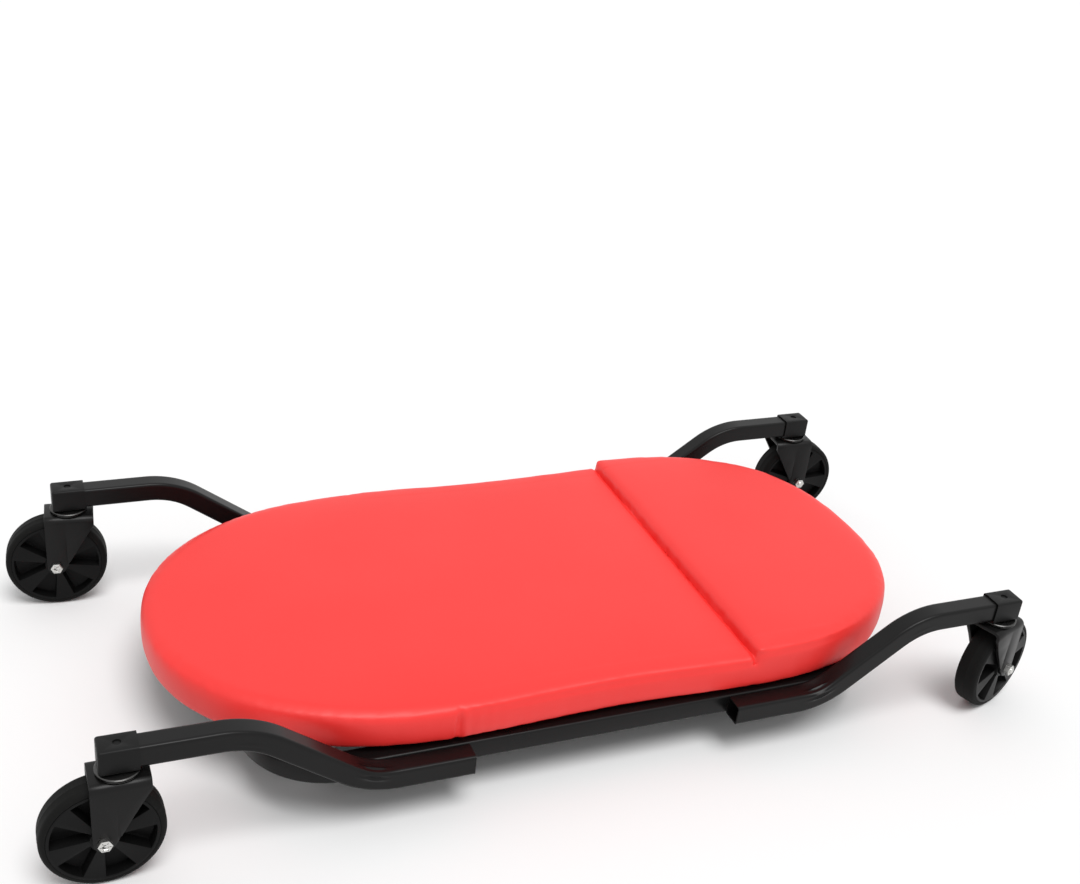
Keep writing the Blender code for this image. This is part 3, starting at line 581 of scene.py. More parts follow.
def cap_shape():
    """The head left cap: a closed sleeve with a bored top and a lip round the arm."""
    low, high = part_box("head_left_arm_cap")
    shape = rounded_square(high.z - low.z, CAP_ROUND)
    move(shape, (low.x, ARM_Y, (low.z + high.z) / 2))
    grow_faces(shape, list(shape.faces), (high.x - low.x, 0, 0))
    face_out(shape)
    ends = [edge for edge in shape.edges if all(abs(vert.co.x - high.x) < 1e-6 for vert in edge.verts)]
    round_edges(shape, ends, CAP_ROUND, 4)
    back = [face for face in shape.faces if face.normal.x < -0.9]
    bmesh.ops.inset_region(shape, faces=back, thickness=CAP_LIP, depth=-CAP_LIP_DEPTH, use_even_offset=True)
    top = max((face for face in shape.faces if face.normal.z > 0.99), key=lambda face: face.calc_area())
    rim = list(top.edges)
    bmesh.ops.delete(shape, geom=[top], context="FACES_ONLY")
    at = Matrix.Translation((swivels["head_left"].x, ARM_Y, high.z))
    ring = bmesh.ops.create_circle(shape, segments=28, radius=BORE_RADIUS, matrix=at)["verts"]
    bore = list({edge for vert in ring for edge in vert.link_edges})
    bmesh.ops.bridge_loops(shape, edges=rim + bore)
    bmesh.ops.contextual_create(shape, geom=pull(shape, bore, (0, 0, -BORE_DEPTH)))
    face_out(shape)
    round_edges(shape, [edge for edge in bore if edge.is_valid], BORE_ROUND)
    return shape


for corner in CORNERS:
    add_piece(corner + "_arm_cap", at_corner(cap_shape(), corner), "black_cap_plastic", "frame",
              corner + "_arm_cap", corner + "_kingpin_nut")
print("four caps")

# %% [markdown]
# ## Base board and its screws
# Under the vinyl lies a painted board. The cover wraps round its edge, so it shows only from
# underneath. Its outline is the pad's own: a rounded end at the foot, straight sides, and a rounded
# end at the head, each a superellipse that is a little squarer than an ellipse.

# %% The pad's outline
main_low, main_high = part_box("main_cushion")
rest_low, rest_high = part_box("headrest_cushion")
FOOT_CURVE_X = -0.180
FOOT_POWER = 2.15
HEAD_CURVE_X = rest_low.x + 0.016
HEAD_POWER = 2.4
PAD_HALF_WIDTH = main_high.y
END_STEPS = 40


def rounded_end(start_x, tip_x, half_width, power):
    """Points of a superellipse end, from its left side round the tip to its right side."""
    points = []
    for step in range(2 * END_STEPS + 1):
        angle = math.pi * (step / (2 * END_STEPS) - 0.5)
        ahead = (tip_x - start_x) * abs(math.cos(angle)) ** (2 / power)
        across = half_width * abs(math.sin(angle)) ** (2 / power)
        points.append((start_x + ahead, math.copysign(across, angle)))
    return points


def pad_face(inset, tip, sides, waist, z):
    """A flat face of the pad's outline at a height, drawn in at its sides, its tips and its waist."""
    half_width = PAD_HALF_WIDTH - inset
    foot = rounded_end(FOOT_CURVE_X, main_low.x + tip, half_width, FOOT_POWER)
    head = rounded_end(HEAD_CURVE_X, rest_high.x - tip, half_width, HEAD_POWER)
    right = []
    for step in range(1, sides):
        share = step / sides
        right.append((FOOT_CURVE_X + share * (HEAD_CURVE_X - FOOT_CURVE_X),
                      half_width - waist * math.sin(math.pi * share)))
    points = foot + right + head[::-1] + [(x, -y) for x, y in reversed(right)]
    shape = bmesh.new()
    corners = [shape.verts.new((x, y, z)) for x, y in points]
    edges = [shape.edges.new((corner, corners[i - 1])) for i, corner in enumerate(corners)]
    bmesh.ops.contextual_create(shape, geom=edges)
    return shape


print("the pad is", round(2 * PAD_HALF_WIDTH, 3), "m wide")

# %% Cut the board
board_low, board_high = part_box("base_board")
BOARD_EDGE = 0.0015
BOARD_INSET = PAD_HALF_WIDTH - board_high.y
WAIST = 0.003

board = pad_face(BOARD_INSET, BOARD_INSET, 12, WAIST, board_low.z)
grow_faces(board, list(board.faces), (0, 0, board_high.z - board_low.z))
face_out(board)
round_edges(board, creases(board, 1), BOARD_EDGE)
add_piece("base_board", board, "black_board", "frame")
print("the board is", round(board_high.z - board_low.z, 4), "m thick")

# %% Turn the screws
SCREWS = 6
SCREW_HEAD = 0.004
SCREW_CHAMFER = 0.0008
SCREW_RADIUS = 0.003
CHAMFER_DROP = 0.55


def hexagon_head(across, height, chamfer):
    """A hexagon head that stands on z = 0, with its top edges cut off."""
    shape = bmesh.new()
    at = Matrix.Translation((0, 0, height / 2)) @ Matrix.Rotation(math.pi / 6, 4, "Z")
    radius = across / 2 / math.cos(math.pi / 6)
    bmesh.ops.create_cone(shape, cap_ends=True, segments=6, radius1=radius, radius2=radius,
                          depth=height, matrix=at)
    sides = [edge for edge in shape.edges if abs(edge.verts[0].co.z - edge.verts[1].co.z) > height / 2]
    round_edges(shape, sides, across * 0.03)
    top = [face for face in shape.faces if face.normal.z > 0.9]
    bmesh.ops.inset_region(shape, faces=top, thickness=chamfer, use_even_offset=True)
    bmesh.ops.translate(shape, verts=top[0].verts, vec=(0, 0, chamfer * CHAMFER_DROP))
    move(shape, (0, 0, -chamfer * CHAMFER_DROP))
    return shape


def stack(shape, radius_1, radius_2, low, high, segments):
    """Adds a round length between two heights to a shape."""
    at = Matrix.Translation((0, 0, (low + high) / 2))
    bmesh.ops.create_cone(shape, cap_ends=True, segments=segments, radius1=radius_1, radius2=radius_2,
                          depth=high - low, matrix=at)


for number in range(1, SCREWS + 1):
    name = f"board_screw_{number}"
    low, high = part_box(name)
    across = high.y - low.y
    screw = hexagon_head(across, SCREW_HEAD, SCREW_CHAMFER)
    stack(screw, across * 0.58, across * 0.56, -0.0006, 0.0002, 32)
    stack(screw, SCREW_RADIUS, SCREW_RADIUS, -(high.z - low.z) + SCREW_HEAD, 0.0001, 20)
    bmesh.ops.rotate(screw, verts=screw.verts, cent=(0, 0, 0), matrix=Matrix.Rotation(math.pi, 3, "X"))
    move(screw, ((low.x + high.x) / 2, (low.y + high.y) / 2, low.z + SCREW_HEAD))
    add_piece(name, screw, "zinc_plate", "frame")
print(SCREWS, "screws")

# %% [markdown]
# ## The padded cover
# One sheet of red vinyl covers two blocks of foam, a long flat one and a thicker one for the head. It
# is sewn down in the valley between them and wraps round the edge of the board, where it is stapled.
# The blocks are drawn a little full, made into one even skin by a voxel remesh, and swollen by
# Blender's Cloth under pressure. Top and underside are held, so that only the walls swell, and how
# far a point may move is capped, so the pad ends at its real size.

# %% Block out the foam
FULLER = 0.006
CROWN = 0.004
FOAM_ROUND = 0.003
PAD_BOTTOM = board_low.z + 0.0008
MAIN_EDGE_Z = main_high.z - CROWN
REST_EDGE_Z = rest_high.z - CROWN
VALLEY_X = (main_high.x + rest_low.x) / 2


def whole(shape):
    """All vertices, edges and faces of a shape."""
    return list(shape.verts) + list(shape.edges) + list(shape.faces)


foam = pad_face(-FULLER, -FULLER / 3, 24, 0.0, PAD_BOTTOM)
grow_faces(foam, list(foam.faces), (0, 0, MAIN_EDGE_Z - PAD_BOTTOM))
bmesh.ops.bisect_plane(foam, geom=whole(foam), plane_co=(VALLEY_X, 0, 0), plane_no=(1, 0, 0))
face_out(foam)
raised = [face for face in foam.faces if face.normal.z > 0.9 and face.calc_center_bounds().x > VALLEY_X]
grow_faces(foam, raised, (0, 0, REST_EDGE_Z - MAIN_EDGE_Z))
face_out(foam)
rims = [edge for edge in creases(foam, 1) if abs(edge.verts[0].co.z - edge.verts[1].co.z) < 1e-5]
round_edges(foam, rims, FOAM_ROUND)
pad = add_piece("pad_cover", foam, "red_vinyl", "frame", "main_cushion", "headrest_cushion")
print("the foam has", len(pad.data.vertices), "points")

# %% Give it an even skin and a crowned top
VOXEL = 0.006
CROWN_POWER = 8


def applied(piece, modifier):
    """Gives a piece the mesh that a modifier makes of it."""
    graph = bpy.context.evaluated_depsgraph_get()
    mesh = bpy.data.meshes.new_from_object(piece.evaluated_get(graph))
    piece.modifiers.remove(modifier)
    piece.data = mesh
    return mesh


def crowned(point):
    """How far the foam's top rises above its edge at a point."""
    tip_x = rest_high.x if point.x > VALLEY_X else main_low.x
    along = (point.x - (tip_x + VALLEY_X) / 2) / (abs(tip_x - VALLEY_X) / 2)
    across = point.y / PAD_HALF_WIDTH
    return CROWN * max(0.0, 1 - along ** CROWN_POWER) * max(0.0, 1 - across ** CROWN_POWER)


even = pad.modifiers.new("even_skin", "REMESH")
even.mode = "VOXEL"
even.voxel_size = VOXEL
points = applied(pad, even).vertices
tops = [vert.index for vert in points if vert.normal.z > 0.8]
glued = tops + [vert.index for vert in points if vert.normal.z < -0.8]
for index in tops:
    points[index].co.z += crowned(points[index].co)
print("the skin has", len(points), "points, of which", len(glued), "are held")

# %% Stretch the cover over it
SWELL = 0.002
PRESSURE = 4.0
SHRINK = -0.012
CLOTH_FRAMES = 20


def stuffed(piece, held):
    """Where each point of the piece goes under pressure from inside."""
    pins = piece.vertex_groups.new(name="glued_down")
    pins.add(held, 1.0, "REPLACE")
    cloth = piece.modifiers.new("stuffing", "CLOTH")
    cloth.settings.vertex_group_mass = "glued_down"
    cloth.settings.use_pressure = True
    cloth.settings.uniform_pressure_force = PRESSURE
    cloth.settings.shrink_min = SHRINK
    cloth.settings.effector_weights.gravity = 0.0
    cloth.point_cache.frame_start = 1
    cloth.point_cache.frame_end = CLOTH_FRAMES
    for number in range(1, CLOTH_FRAMES + 1):
        scene.frame_set(number)
    graph = bpy.context.evaluated_depsgraph_get()
    places = [vert.co.copy() for vert in piece.evaluated_get(graph).data.vertices]
    piece.modifiers.remove(cloth)
    piece.vertex_groups.remove(pins)
    scene.frame_set(1)
    return places


start = [vert.co.copy() for vert in pad.data.vertices]
swollen = stuffed(pad, glued)
farthest = 0.0
for vert, before, after in zip(pad.data.vertices, start, swollen):
    step = after - before
    farthest = max(farthest, step.length)
    if step.length > SWELL:
        step *= SWELL / step.length
    vert.co = before + step
print("the cover would have moved up to", round(farthest, 4), "m")

# %% [markdown]
# ## Seams and folds
# The remesh knows nothing finer than its squares, so what is sewn comes after it. The cover is
# smoothed and divided, twice along the seams, and then its points are moved as a sculptor would: the
# sewn valley is pressed in, the top edge of each straight side is rolled up a little, and the vinyl
# is tucked into an upright fold where that side turns into the round foot end.

# %% Smooth the cover
VALLEY_CLEAR = 0.012
SLIDE_CLEAR = 0.02
SLIDE_ROUNDS = 24
FOLD_REACH = 0.02
HEAD_ROUND_X = 0.36


def soften(shape, verts):
    """Moves vertices half way to the middle of their neighbours."""
    bmesh.ops.smooth_vert(shape, verts=verts, factor=0.5, use_axis_x=True, use_axis_y=True, use_axis_z=True)


def slide_even(verts):
    """Evens points out along the pad's outline alone, so that its edge keeps its profile."""
    for _ in range(SLIDE_ROUNDS):
        places = []
        for vert in verts:
            along = Vector((-vert.normal.y, vert.normal.x, 0)).normalized()
            near = [edge.other_vert(vert).co for edge in vert.link_edges]
            near = [place for place in near if abs((place - vert.co).normalized().dot(along)) > 0.7]
            if len(near) == 2:
                places.append((vert, vert.co / 2 + (near[0] + near[1]) / 4))
        for vert, place in places:
            vert.co = place


skin = bmesh.new()
skin.from_mesh(pad.data)
free = [vert for vert in skin.verts
        if vert.co.z > PAD_BOTTOM + 0.001 and abs(vert.co.x - VALLEY_X) > VALLEY_CLEAR]
foot = [vert for vert in free if vert.co.x < FOOT_CURVE_X - FOLD_REACH]
head = [vert for vert in free if vert.co.x > HEAD_ROUND_X]
for verts in (free, foot, foot, head):
    soften(skin, verts)
skin.normal_update()
slide_even([vert for vert in skin.verts
            if abs(vert.normal.z) < 0.97 and abs(vert.co.x - VALLEY_X) > SLIDE_CLEAR])
skin.to_mesh(pad.data)
skin.free()
print(len(foot), "points were smoothed at the foot and", len(head), "at the head")

# %% Divide the cover and close it underneath
SEAM_REACH = 0.014
SIDE_REACH = 0.018
FINE_STOP_X = 0.37


def edge_height(point):
    """How high the foam's top edge is beside a point."""
    return REST_EDGE_Z if point.x > VALLEY_X else MAIN_EDGE_Z


def near_seam(point):
    """Whether a point lies by a rolled edge, the valley or a fold."""
    if abs(point.x - VALLEY_X) < SEAM_REACH and point.z > MAIN_EDGE_Z - SEAM_REACH:
        return True
    if abs(point.y) < PAD_HALF_WIDTH - SIDE_REACH or point.z < PAD_BOTTOM + 0.002:
        return False
    if abs(point.x - FOOT_CURVE_X) < FOLD_REACH:
        return True
    return FOOT_CURVE_X - FOLD_REACH < point.x < FINE_STOP_X and point.z > edge_height(point) - SEAM_REACH


finer = pad.modifiers.new("finer", "SUBSURF")
finer.levels = 1
finer.render_levels = 1
cover = applied(pad, finer)
skin = bmesh.new()
skin.from_mesh(cover)
under = [face for face in skin.faces
         if face.normal.z < -0.999 and face.calc_center_median().z < PAD_BOTTOM + 0.0005]
bmesh.ops.dissolve_faces(skin, faces=under)
seams = [edge for edge in skin.edges if near_seam(edge.verts[0].co) and near_seam(edge.verts[1].co)]
grown = bmesh.ops.subdivide_edges(skin, edges=seams, cuts=1, use_grid_fill=True)
soften(skin, list(set(picked(grown, bmesh.types.BMVert, "geom_inner"))))
skin.to_mesh(cover)
skin.free()
print("divided into", len(cover.polygons), "faces")

# %% How the valley is sewn
VALLEY_DEPTH = 0.0065
VALLEY_HALF = 0.0034
VALLEY_LEAN = 0.0032
VALLEY_NOTCH = 0.003
VALLEY_SET = 0.003
STITCH_SCALE = 16
STITCH_WAVER = 0.0015


def eased(value):
    """A number held between 0 and 1 that starts and ends gently."""
    value = min(max(value, 0.0), 1.0)
    return value * value * (3 - 2 * value)


def sew_valley(shift, point, normal, wall, side):
    """Presses the sewn line in, notches both of its ends, and leans the headrest over it."""
    stitch = noise.noise((point.y * STITCH_SCALE, 3.7, 0.0))
    valley = bell(point.x - (VALLEY_X - VALLEY_SET + STITCH_WAVER * stitch), VALLEY_HALF)
    if normal.z > 0.2 and point.z > MAIN_EDGE_Z - 0.008:
        shift.z -= VALLEY_DEPTH * valley * (0.85 + 0.5 * stitch)
    shift.y -= side * VALLEY_NOTCH * valley * wall * bell(point.z - MAIN_EDGE_Z, 0.010)
    if VALLEY_X - 0.004 < point.x < VALLEY_X + 0.03:
        lean = eased((point.z - MAIN_EDGE_Z - 0.001) / (REST_EDGE_Z - MAIN_EDGE_Z - 0.003))
        shift.x -= VALLEY_LEAN * (1 + 0.6 * stitch) * lean * bell(point.x - VALLEY_X, 0.014)


print("the valley is", VALLEY_DEPTH, "m deep")

# %% How the sides are rolled and folded
ROLL = 0.0012
ROLL_GROOVE = 0.0005
FOLD_DEPTH = 0.0028
FOLD_HALF = 0.0035
FOLD_LEAN = 0.005
PUCKER = 0.0006
PUCKER_LENGTH = 0.016
PUCKER_FADE = 0.045


def roll_edge(shift, point, normal, wall, side):
    """Rolls the top edge of a straight side up, over a faint groove."""
    straight = eased((point.x - FOOT_CURVE_X) / 0.03) * eased((HEAD_ROUND_X - point.x) / 0.06)
    waver = 0.8 + 0.4 * noise.noise((point.x * 34, side * 3, 1.5))
    out = Vector((0, side * 0.6, 0.8))
    shift += out * ROLL * waver * straight * bell(normal.z - 0.72, 0.24)
    shift.y -= side * ROLL_GROOVE * straight * wall * bell(point.z - (edge_height(point) - 0.0085), 0.003)


def tuck_fold(shift, point, wall, side):
    """Tucks an upright fold in where the foot end starts, and puckers the side next to it."""
    from_fold = point.x - FOOT_CURVE_X
    height = (point.z - PAD_BOTTOM) / (edge_height(point) - PAD_BOTTOM)
    tuck = FOLD_DEPTH * bell(from_fold + FOLD_LEAN * (0.5 - height), FOLD_HALF)
    shift.y -= side * wall * tuck * (0.35 + 0.65 * math.sin(math.pi * min(max(height, 0), 1)))
    if from_fold > 0:
        wave = math.cos(from_fold * 2 * math.pi / PUCKER_LENGTH) * math.exp(-from_fold / PUCKER_FADE)
        shift.y -= side * wall * PUCKER * wave


print("the folds are", FOLD_DEPTH, "m deep")

# %% Sew, roll and tuck the cover
TUCK = PAD_HALF_WIDTH - board_high.y - 0.0008
TUCK_TOP = main_low.z - 0.001
RIPPLE = 0.0005
ROLL_REACH = 0.02

surface = [(vert.co.copy(), vert.normal.copy()) for vert in cover.vertices]
for vert, (point, normal) in zip(cover.vertices, surface):
    side = math.copysign(1.0, point.y)
    wall = max(0.0, 1 - abs(normal.z)) ** 0.5
    shift = Vector()
    outwards = Vector((normal.x, normal.y, 0)).normalized()
    shift -= outwards * TUCK * eased((TUCK_TOP - point.z) / (TUCK_TOP - PAD_BOTTOM - 0.002))
    sew_valley(shift, point, normal, wall, side)
    if FOOT_CURVE_X < point.x < HEAD_CURVE_X:
        share = (point.x - FOOT_CURVE_X) / (HEAD_CURVE_X - FOOT_CURVE_X)
        shift.y -= point.y / PAD_HALF_WIDTH * (WAIST + FULLER / 2) * math.sin(math.pi * share) ** 2
    if abs(point.y) > PAD_HALF_WIDTH - ROLL_REACH:
        roll_edge(shift, point, normal, wall, side)
        tuck_fold(shift, point, wall, side)
    around = math.atan2(point.y, point.x) * 0.4 + point.x
    shift += normal * wall * RIPPLE * noise.noise((around * 28, side * 9.0, point.z * 7))
    shift += normal * RIPPLE * noise.noise((point.x * 9, point.y * 9, 5.0))
    vert.co = point + shift
cover.shade_smooth()
print("the pad's top is at", round(max(vert.co.z for vert in cover.vertices), 4), "m")

# %% [markdown]
# ## The casters
# Each caster is a swivel fork with one wheel. Everything on it is drawn once about its own axes, and
# then turned the way its caster trails. The frame's joints say where each swivel and each axle is.

# %% Where each caster stands
axles = {corner: joint_place(corner + "_roll") for corner in CORNERS}
TRAIL = (axles["foot_left"].xy - swivels["foot_left"].xy).length
fork_places = {}
axle_places = {}
for corner in CORNERS:
    way = axles[corner] - swivels[corner]
    heading = Matrix.Rotation(math.atan2(way.y, way.x), 4, "Z")
    fork_places[corner] = Matrix.Translation((swivels[corner].x, swivels[corner].y, 0)) @ heading
    axle_places[corner] = Matrix.Translation(axles[corner]) @ heading @ Matrix.Rotation(math.pi / 2, 4, "X")
print("the casters trail by", round(TRAIL, 4), "m")

# %% [markdown]
# ## The forks
# A fork is pressed from one strip of sheet steel: a crown with two legs folded down. Drawn as a strip
# that is pulled up one leg, round a bend, across the crown and down the other leg, it gets the bends
# of a real pressing. Flat cuts then trim both legs at once to their tapered outline and round foot.

# %% The outline of a leg
fork_low, fork_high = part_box("foot_left_fork")
WHEEL_RADIUS = axles["foot_left"].z
FORK_TOP = fork_high.z
FORK_HALF = (fork_high.y - fork_low.y) / 2
FORK_HALF_CROWN = 0.030
FORK_SIDE = 0.012
BOSS_RADIUS = 0.0115
BOSS_STEPS = 16


def leg_outline():
    """Corners of a leg seen from the side: the crown, then round the axle's boss."""
    side_z = FORK_TOP - FORK_SIDE
    centre = Vector((TRAIL, WHEEL_RADIUS))
    angles = []
    for x, turn in ((FORK_HALF_CROWN, 1), (-FORK_HALF_CROWN, -1)):
        way = Vector((x, side_z)) - centre
        angles.append(math.atan2(way.y, way.x) - turn * math.acos(BOSS_RADIUS / way.length))
    first, last = angles[0], angles[1] - 2 * math.pi
    points = [Vector((-FORK_HALF_CROWN, side_z)), Vector((-FORK_HALF_CROWN, FORK_TOP + 0.01)),
              Vector((FORK_HALF_CROWN, FORK_TOP + 0.01)), Vector((FORK_HALF_CROWN, side_z))]
    for step in range(BOSS_STEPS + 1):
        angle = first + (last - first) * step / BOSS_STEPS
        points.append(centre + BOSS_RADIUS * Vector((math.cos(angle), math.sin(angle))))
    return points


print("a leg is cut along", len(leg_outline()), "lines")

# %% Bend the strip of a fork
FORK_SHEET = 0.0045
FORK_BEND = 0.006
FORK_BEND_STEPS = 6
LEG_ROWS = 4
RIDGE_X = 0.0046
RIB = 0.0022


def fork_strip():
    """The bent strip of a fork: up one leg, across the crown and down the other leg."""
    shape = bmesh.new()
    middle = FORK_HALF - FORK_SHEET / 2
    top = FORK_TOP - FORK_SHEET / 2
    low = WHEEL_RADIUS - BOSS_RADIUS - 0.002
    reach = [-FORK_HALF_CROWN - 0.002, -0.012, RIDGE_X - RIB, RIDGE_X, RIDGE_X + RIB, 0.016,
             FORK_HALF_CROWN + 0.002]
    row = [shape.verts.new((x, -middle, low)) for x in reach]
    strip = [shape.edges.new(pair) for pair in zip(row, row[1:])]
    bend_y = middle - FORK_BEND
    bend_z = top - FORK_BEND
    lift = (bend_z - low) / LEG_ROWS
    for _ in range(LEG_ROWS):
        strip = pull(shape, strip, (0, 0, lift))
    strip = swing_round(shape, strip, (0, -bend_y, bend_z), (-1, 0, 0), math.pi / 2, FORK_BEND_STEPS)
    strip = pull(shape, strip, (0, 2 * bend_y, 0))
    strip = swing_round(shape, strip, (0, bend_y, bend_z), (-1, 0, 0), math.pi / 2, FORK_BEND_STEPS)
    for _ in range(LEG_ROWS):
        strip = pull(shape, strip, (0, 0, -lift))
    return shape


print("the sheet is", FORK_SHEET, "m thick")

# %% Press the forks
FORK_EDGE = 0.0007
WING_FOLD = 0.0024
RIB_HEIGHT = 0.0011


def fork_shape():
    """A fork about its own swivel, from the floor up, trailing along X."""
    shape = fork_strip()
    corners = leg_outline()
    for here, there in zip(corners, corners[1:] + corners[:1]):
        edge = there - here
        bmesh.ops.bisect_plane(shape, geom=whole(shape), dist=1e-6, plane_co=(here.x, 0, here.y),
                               plane_no=(-edge.y, 0, edge.x), clear_outer=True)
    for vert in shape.verts:
        drop = min(max((FORK_TOP - 0.016 - vert.co.z) / 0.02, 0.0), 1.0)
        ahead = max(0.0, (RIDGE_X - vert.co.x) / (RIDGE_X + FORK_HALF_CROWN))
        rib = RIB_HEIGHT * drop if abs(vert.co.x - RIDGE_X) < RIB / 2 else 0.0
        vert.co.y -= math.copysign(WING_FOLD * drop * ahead - rib, vert.co.y)
    face_out(shape)
    crown = max(shape.faces, key=lambda face: face.calc_center_median().z)
    if crown.normal.z < 0:
        bmesh.ops.reverse_faces(shape, faces=shape.faces)
    for vert in shape.verts:
        vert.co += vert.normal * FORK_SHEET / 2
    bmesh.ops.solidify(shape, geom=whole(shape), thickness=FORK_SHEET)
    face_out(shape)
    round_edges(shape, creases(shape, 1.2), FORK_EDGE)
    return shape


for corner in CORNERS:
    fork = fork_shape()
    fork.transform(fork_places[corner])
    add_piece(corner + "_fork", fork, "black_paint", corner + "_caster", sharp=30)
print("four forks")

# %% [markdown]
# ## Bearings, pins and axles
# Small turned parts are drawn as half a section and spun round their own axis. The swivel bearing is
# a plated ring with a groove between its two races. The axle is a bolt with a chamfered hexagon head
# that is hollow on top, a washer face, and a nut on the far leg from which the thread's end stands out.


# %% A lathe
def turned(profile, steps, closed=True):
    """Spins a half section of (radius, height) points round Z."""
    shape = bmesh.new()
    corners = [shape.verts.new((radius, 0, height)) for radius, height in profile]
    pairs = list(zip(corners, corners[1:]))
    if closed:
        pairs.append((corners[-1], corners[0]))
    edges = [shape.edges.new(pair) for pair in pairs]
    bmesh.ops.spin(shape, geom=corners + edges, cent=(0, 0, 0), axis=(0, 0, 1), angle=2 * math.pi,
                   steps=steps, use_merge=True)
    bmesh.ops.remove_doubles(shape, verts=shape.verts, dist=1e-6)
    return shape


# %% Turn the bearings and the pins
BEARING_BORE = 0.0053
RACE_GROOVE = 0.0012
PIN_RADIUS = 0.005
PIN_HEAD_RADIUS = 0.009
PIN_HEAD = 0.0025
PIN_SUNK = 0.0212
for corner in CORNERS:
    foot_of_pin = (swivels[corner].x, swivels[corner].y, 0)
    low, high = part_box(corner + "_swivel_bearing")
    outer = (high.x - low.x) / 2
    mid = (low.z + high.z) / 2
    ring = turned([(BEARING_BORE, low.z), (outer - 0.003, low.z), (outer - 0.001, low.z + 0.0004),
                   (outer, low.z + 0.0012), (outer, mid - 0.0006), (outer - RACE_GROOVE, mid - 0.0004),
                   (outer - RACE_GROOVE, mid + 0.0004), (outer, mid + 0.0006), (outer, high.z - 0.0010),
                   (outer - 0.0008, high.z - 0.0002), (outer - 0.0016, high.z), (BEARING_BORE, high.z)], 56)
    move(ring, foot_of_pin)
    # The bearing wears the darker zinc, which paints in the shade under the arm cap.
    add_piece(corner + "_swivel_bearing", ring, "zinc_plate", "frame", finish="shaded_zinc")
    low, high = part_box(corner + "_kingpin")
    pin = turned([(0, low.z), (0.0078, low.z), (PIN_HEAD_RADIUS, low.z + 0.0009),
                  (PIN_HEAD_RADIUS, low.z + PIN_HEAD), (PIN_RADIUS, low.z + PIN_HEAD),
                  (PIN_RADIUS, high.z - PIN_SUNK), (0, high.z - PIN_SUNK)], 40, closed=False)
    move(pin, foot_of_pin)
    add_piece(corner + "_kingpin", pin, "zinc_plate", "frame")
print("four bearings and four pins")

# %% Make the axle bolts, nuts and sleeves
AXLE_HEAD = 0.0053
AXLE_ACROSS = 0.013
AXLE_CHAMFER = 0.0011
AXLE_RADIUS = 0.004
AXLE_NUT = 0.0065
WASHER_FACE = AXLE_ACROSS * 0.47
HEAD_HOLLOW = ((0.62, 0), (0.85, 0.0012))
THREAD_END = 0.002
THREAD_CHAMFER = 0.0008
THREAD_TIP = -2 * FORK_HALF - AXLE_NUT - THREAD_END
SLEEVE_HALF = FORK_HALF - FORK_SHEET - 0.0003
SLEEVE_BORE = 0.0043
SLEEVE_RADIUS = 0.0063
for corner in CORNERS:
    caster = corner + "_caster"
    bolt = hexagon_head(AXLE_ACROSS, AXLE_HEAD, AXLE_CHAMFER)
    top = [max(bolt.faces, key=lambda face: face.calc_center_median().z)]
    for share, depth in HEAD_HOLLOW:
        bmesh.ops.inset_region(bolt, faces=top, thickness=0.0001, use_even_offset=True)
        bmesh.ops.scale(bolt, verts=top[0].verts, vec=(share, share, 1))
        bmesh.ops.translate(bolt, verts=top[0].verts, vec=(0, 0, -depth))
    stack(bolt, WASHER_FACE, WASHER_FACE, -0.0003, 0.0003, 36)
    stack(bolt, AXLE_RADIUS, AXLE_RADIUS, THREAD_TIP + THREAD_CHAMFER, 0.0001, 28)
    stack(bolt, 0.0033, AXLE_RADIUS, THREAD_TIP, THREAD_TIP + THREAD_CHAMFER, 28)
    turn = Matrix.Translation((0, 0, -FORK_HALF - 0.0003)) @ Matrix.Rotation(math.pi, 4, "X")
    bolt.transform(axle_places[corner] @ turn)
    add_piece(corner + "_axle_bolt", bolt, "zinc_plate", caster, sharp=28)
    nut = hexagon_head(AXLE_ACROSS, AXLE_NUT, AXLE_CHAMFER)
    stack(nut, WASHER_FACE, WASHER_FACE, -0.0002, 0.0003, 36)
    nut.transform(axle_places[corner] @ Matrix.Translation((0, 0, FORK_HALF + 0.0002)))
    add_piece(corner + "_axle_nut", nut, "zinc_plate", caster, sharp=28)
    sleeve = turned([(SLEEVE_BORE, -SLEEVE_HALF), (SLEEVE_RADIUS, -SLEEVE_HALF),
                     (SLEEVE_RADIUS, SLEEVE_HALF), (SLEEVE_BORE, SLEEVE_HALF)], 36)
    sleeve.transform(axle_places[corner])
    add_piece(corner + "_axle_sleeve", sleeve, "zinc_plate", caster)
print("four axles")

# %% [markdown]
# ## The wheels
# A wheel is two mouldings: a hard core with six wedge spokes over a thin web, and a softer tyre round
# it. The core starts as a flat disc of rings. What lies between two spokes, from hub to rim, is sunk
# as a pocket from both faces, and the rims of the pockets are rounded as a mould would leave them.

# %% Sink the pockets of a core
WHEEL_HALF = 0.015
RIM_INSIDE = 0.0520
HUB_RADIUS = 0.014
HUB_HALF = FORK_HALF - FORK_SHEET - 0.0004
SPOKES = 6
SPOKE_SHARE = 0.43
WEB_HALF = 0.002
POCKET_DRAFT = 0.0012


def from_axle(point):
    """How far a point of a core is from its axle."""
    return math.hypot(point.x, point.y)


def sink_face(shape, way):
    """Raises the hub and sinks the pockets on one face of a core."""
    pockets = {}
    hub = []
    for face in shape.faces:
        middle = face.calc_center_median()
        if face.normal.z * way < 0.9:
            continue
        if from_axle(middle) < HUB_RADIUS:
            hub.append(face)
        elif from_axle(middle) < RIM_INSIDE:
            sixth = (math.atan2(middle.y, middle.x) % (2 * math.pi)) * SPOKES / (2 * math.pi)
            if sixth % 1 > SPOKE_SHARE:
                pockets.setdefault(int(sixth), []).append(face)
    grow_faces(shape, hub, (0, 0, way * (HUB_HALF - WHEEL_HALF)))
    for faces in pockets.values():
        bmesh.ops.inset_region(shape, faces=faces, thickness=POCKET_DRAFT, depth=-(WHEEL_HALF - WEB_HALF),
                               use_even_offset=True)


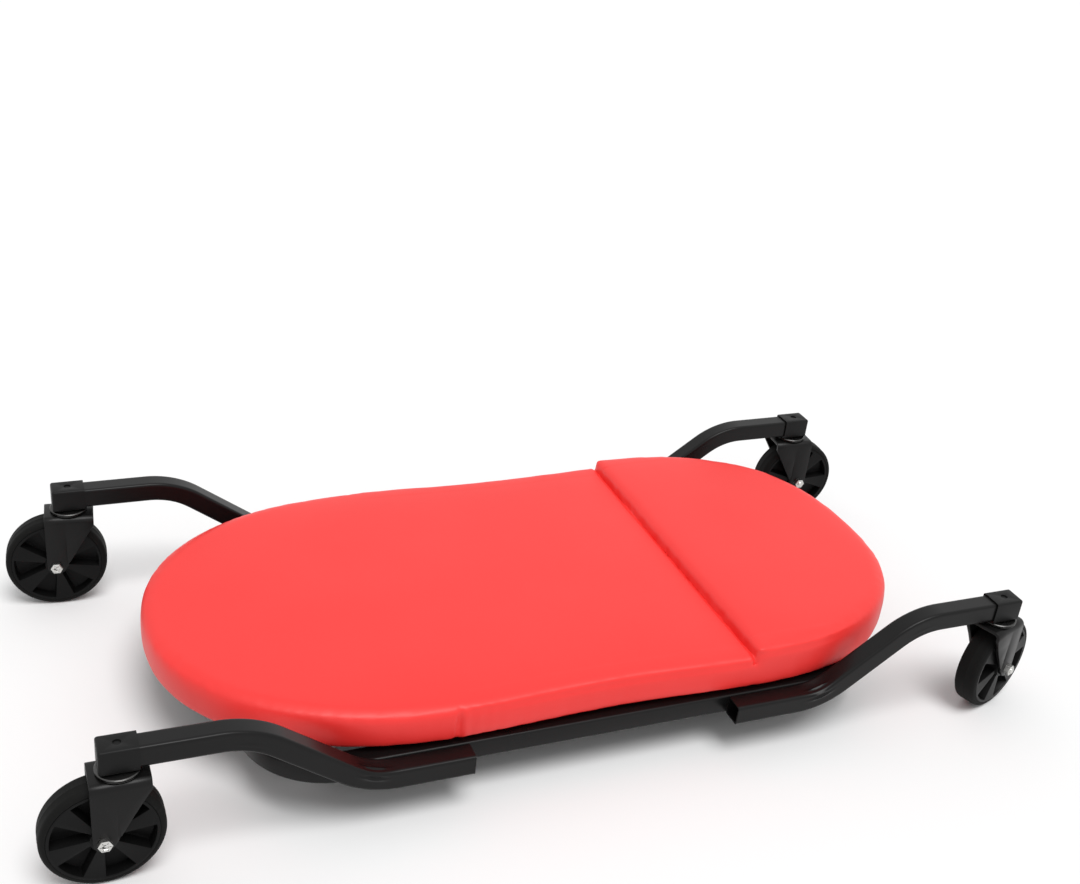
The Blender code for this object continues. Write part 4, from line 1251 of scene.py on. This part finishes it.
print("a core has", SPOKES, "spokes")

# %% Mould the wheel cores
WHEEL_TURN = {"foot_left": 30, "foot_right": 9, "head_left": 10, "head_right": 40}
CORE_RADIUS = WHEEL_RADIUS - 0.0073
HUB_BORE = 0.0067
SECTORS = 72
POCKET_ROUND = 0.0007


def wheel_core():
    """A core about its own Z, with a spoke over the first part of each sixth of a turn."""
    shape = bmesh.new()
    radii = (HUB_BORE, HUB_RADIUS, RIM_INSIDE, CORE_RADIUS)
    bore = bmesh.ops.create_circle(shape, segments=SECTORS, radius=radii[0])["verts"]
    ring = list({edge for vert in bore for edge in vert.link_edges})
    for inner, outer in zip(radii, radii[1:]):
        grown = bmesh.ops.extrude_edge_only(shape, edges=ring)
        wider = outer / inner
        bmesh.ops.scale(shape, vec=(wider, wider, 1), verts=picked(grown, bmesh.types.BMVert))
        ring = picked(grown, bmesh.types.BMEdge)
    move(shape, (0, 0, -WHEEL_HALF))
    grow_faces(shape, list(shape.faces), (0, 0, 2 * WHEEL_HALF))
    face_out(shape)
    for way in (-1, 1):
        sink_face(shape, way)
    bmesh.ops.remove_doubles(shape, verts=shape.verts, dist=1e-6)
    face_out(shape)
    rims = [edge for edge in creases(shape, 0.7)
            if from_axle((edge.verts[0].co + edge.verts[1].co) / 2) > HUB_BORE * 1.1]
    round_edges(shape, rims, POCKET_ROUND, clamp=True)
    return shape


for corner in CORNERS:
    core = wheel_core()
    turn = Matrix.Rotation(math.radians(WHEEL_TURN[corner]), 4, "Z")
    core.transform(axle_places[corner] @ turn)
    add_piece(corner + "_wheel_core", core, "black_core_plastic", corner + "_wheel", sharp=30)
print("four wheel cores")

# %% Mould the tyres
SHOULDER = 0.006
SHOULDER_STEPS = 6
TREAD_RADIUS = WHEEL_RADIUS - 0.0002
TYRE_INSIDE = WHEEL_RADIUS - 0.007
half = [(TYRE_INSIDE, -WHEEL_HALF + 0.0004), (TYRE_INSIDE + 0.0006, -WHEEL_HALF)]
for step in range(SHOULDER_STEPS + 1):
    angle = math.pi / 2 * step / SHOULDER_STEPS
    half.append((TREAD_RADIUS - SHOULDER + SHOULDER * math.sin(angle),
                 -WHEEL_HALF + SHOULDER - SHOULDER * math.cos(angle)))
half.append((TREAD_RADIUS, -0.0005))
section = half + [(WHEEL_RADIUS, 0.0)] + [(radius, -height) for radius, height in reversed(half)]
for corner in CORNERS:
    tyre = turned(section, 96)
    tyre.transform(axle_places[corner])
    add_piece(corner + "_tyre", tyre, "black_rubber", corner + "_wheel", sharp=50)
print("four tyres")
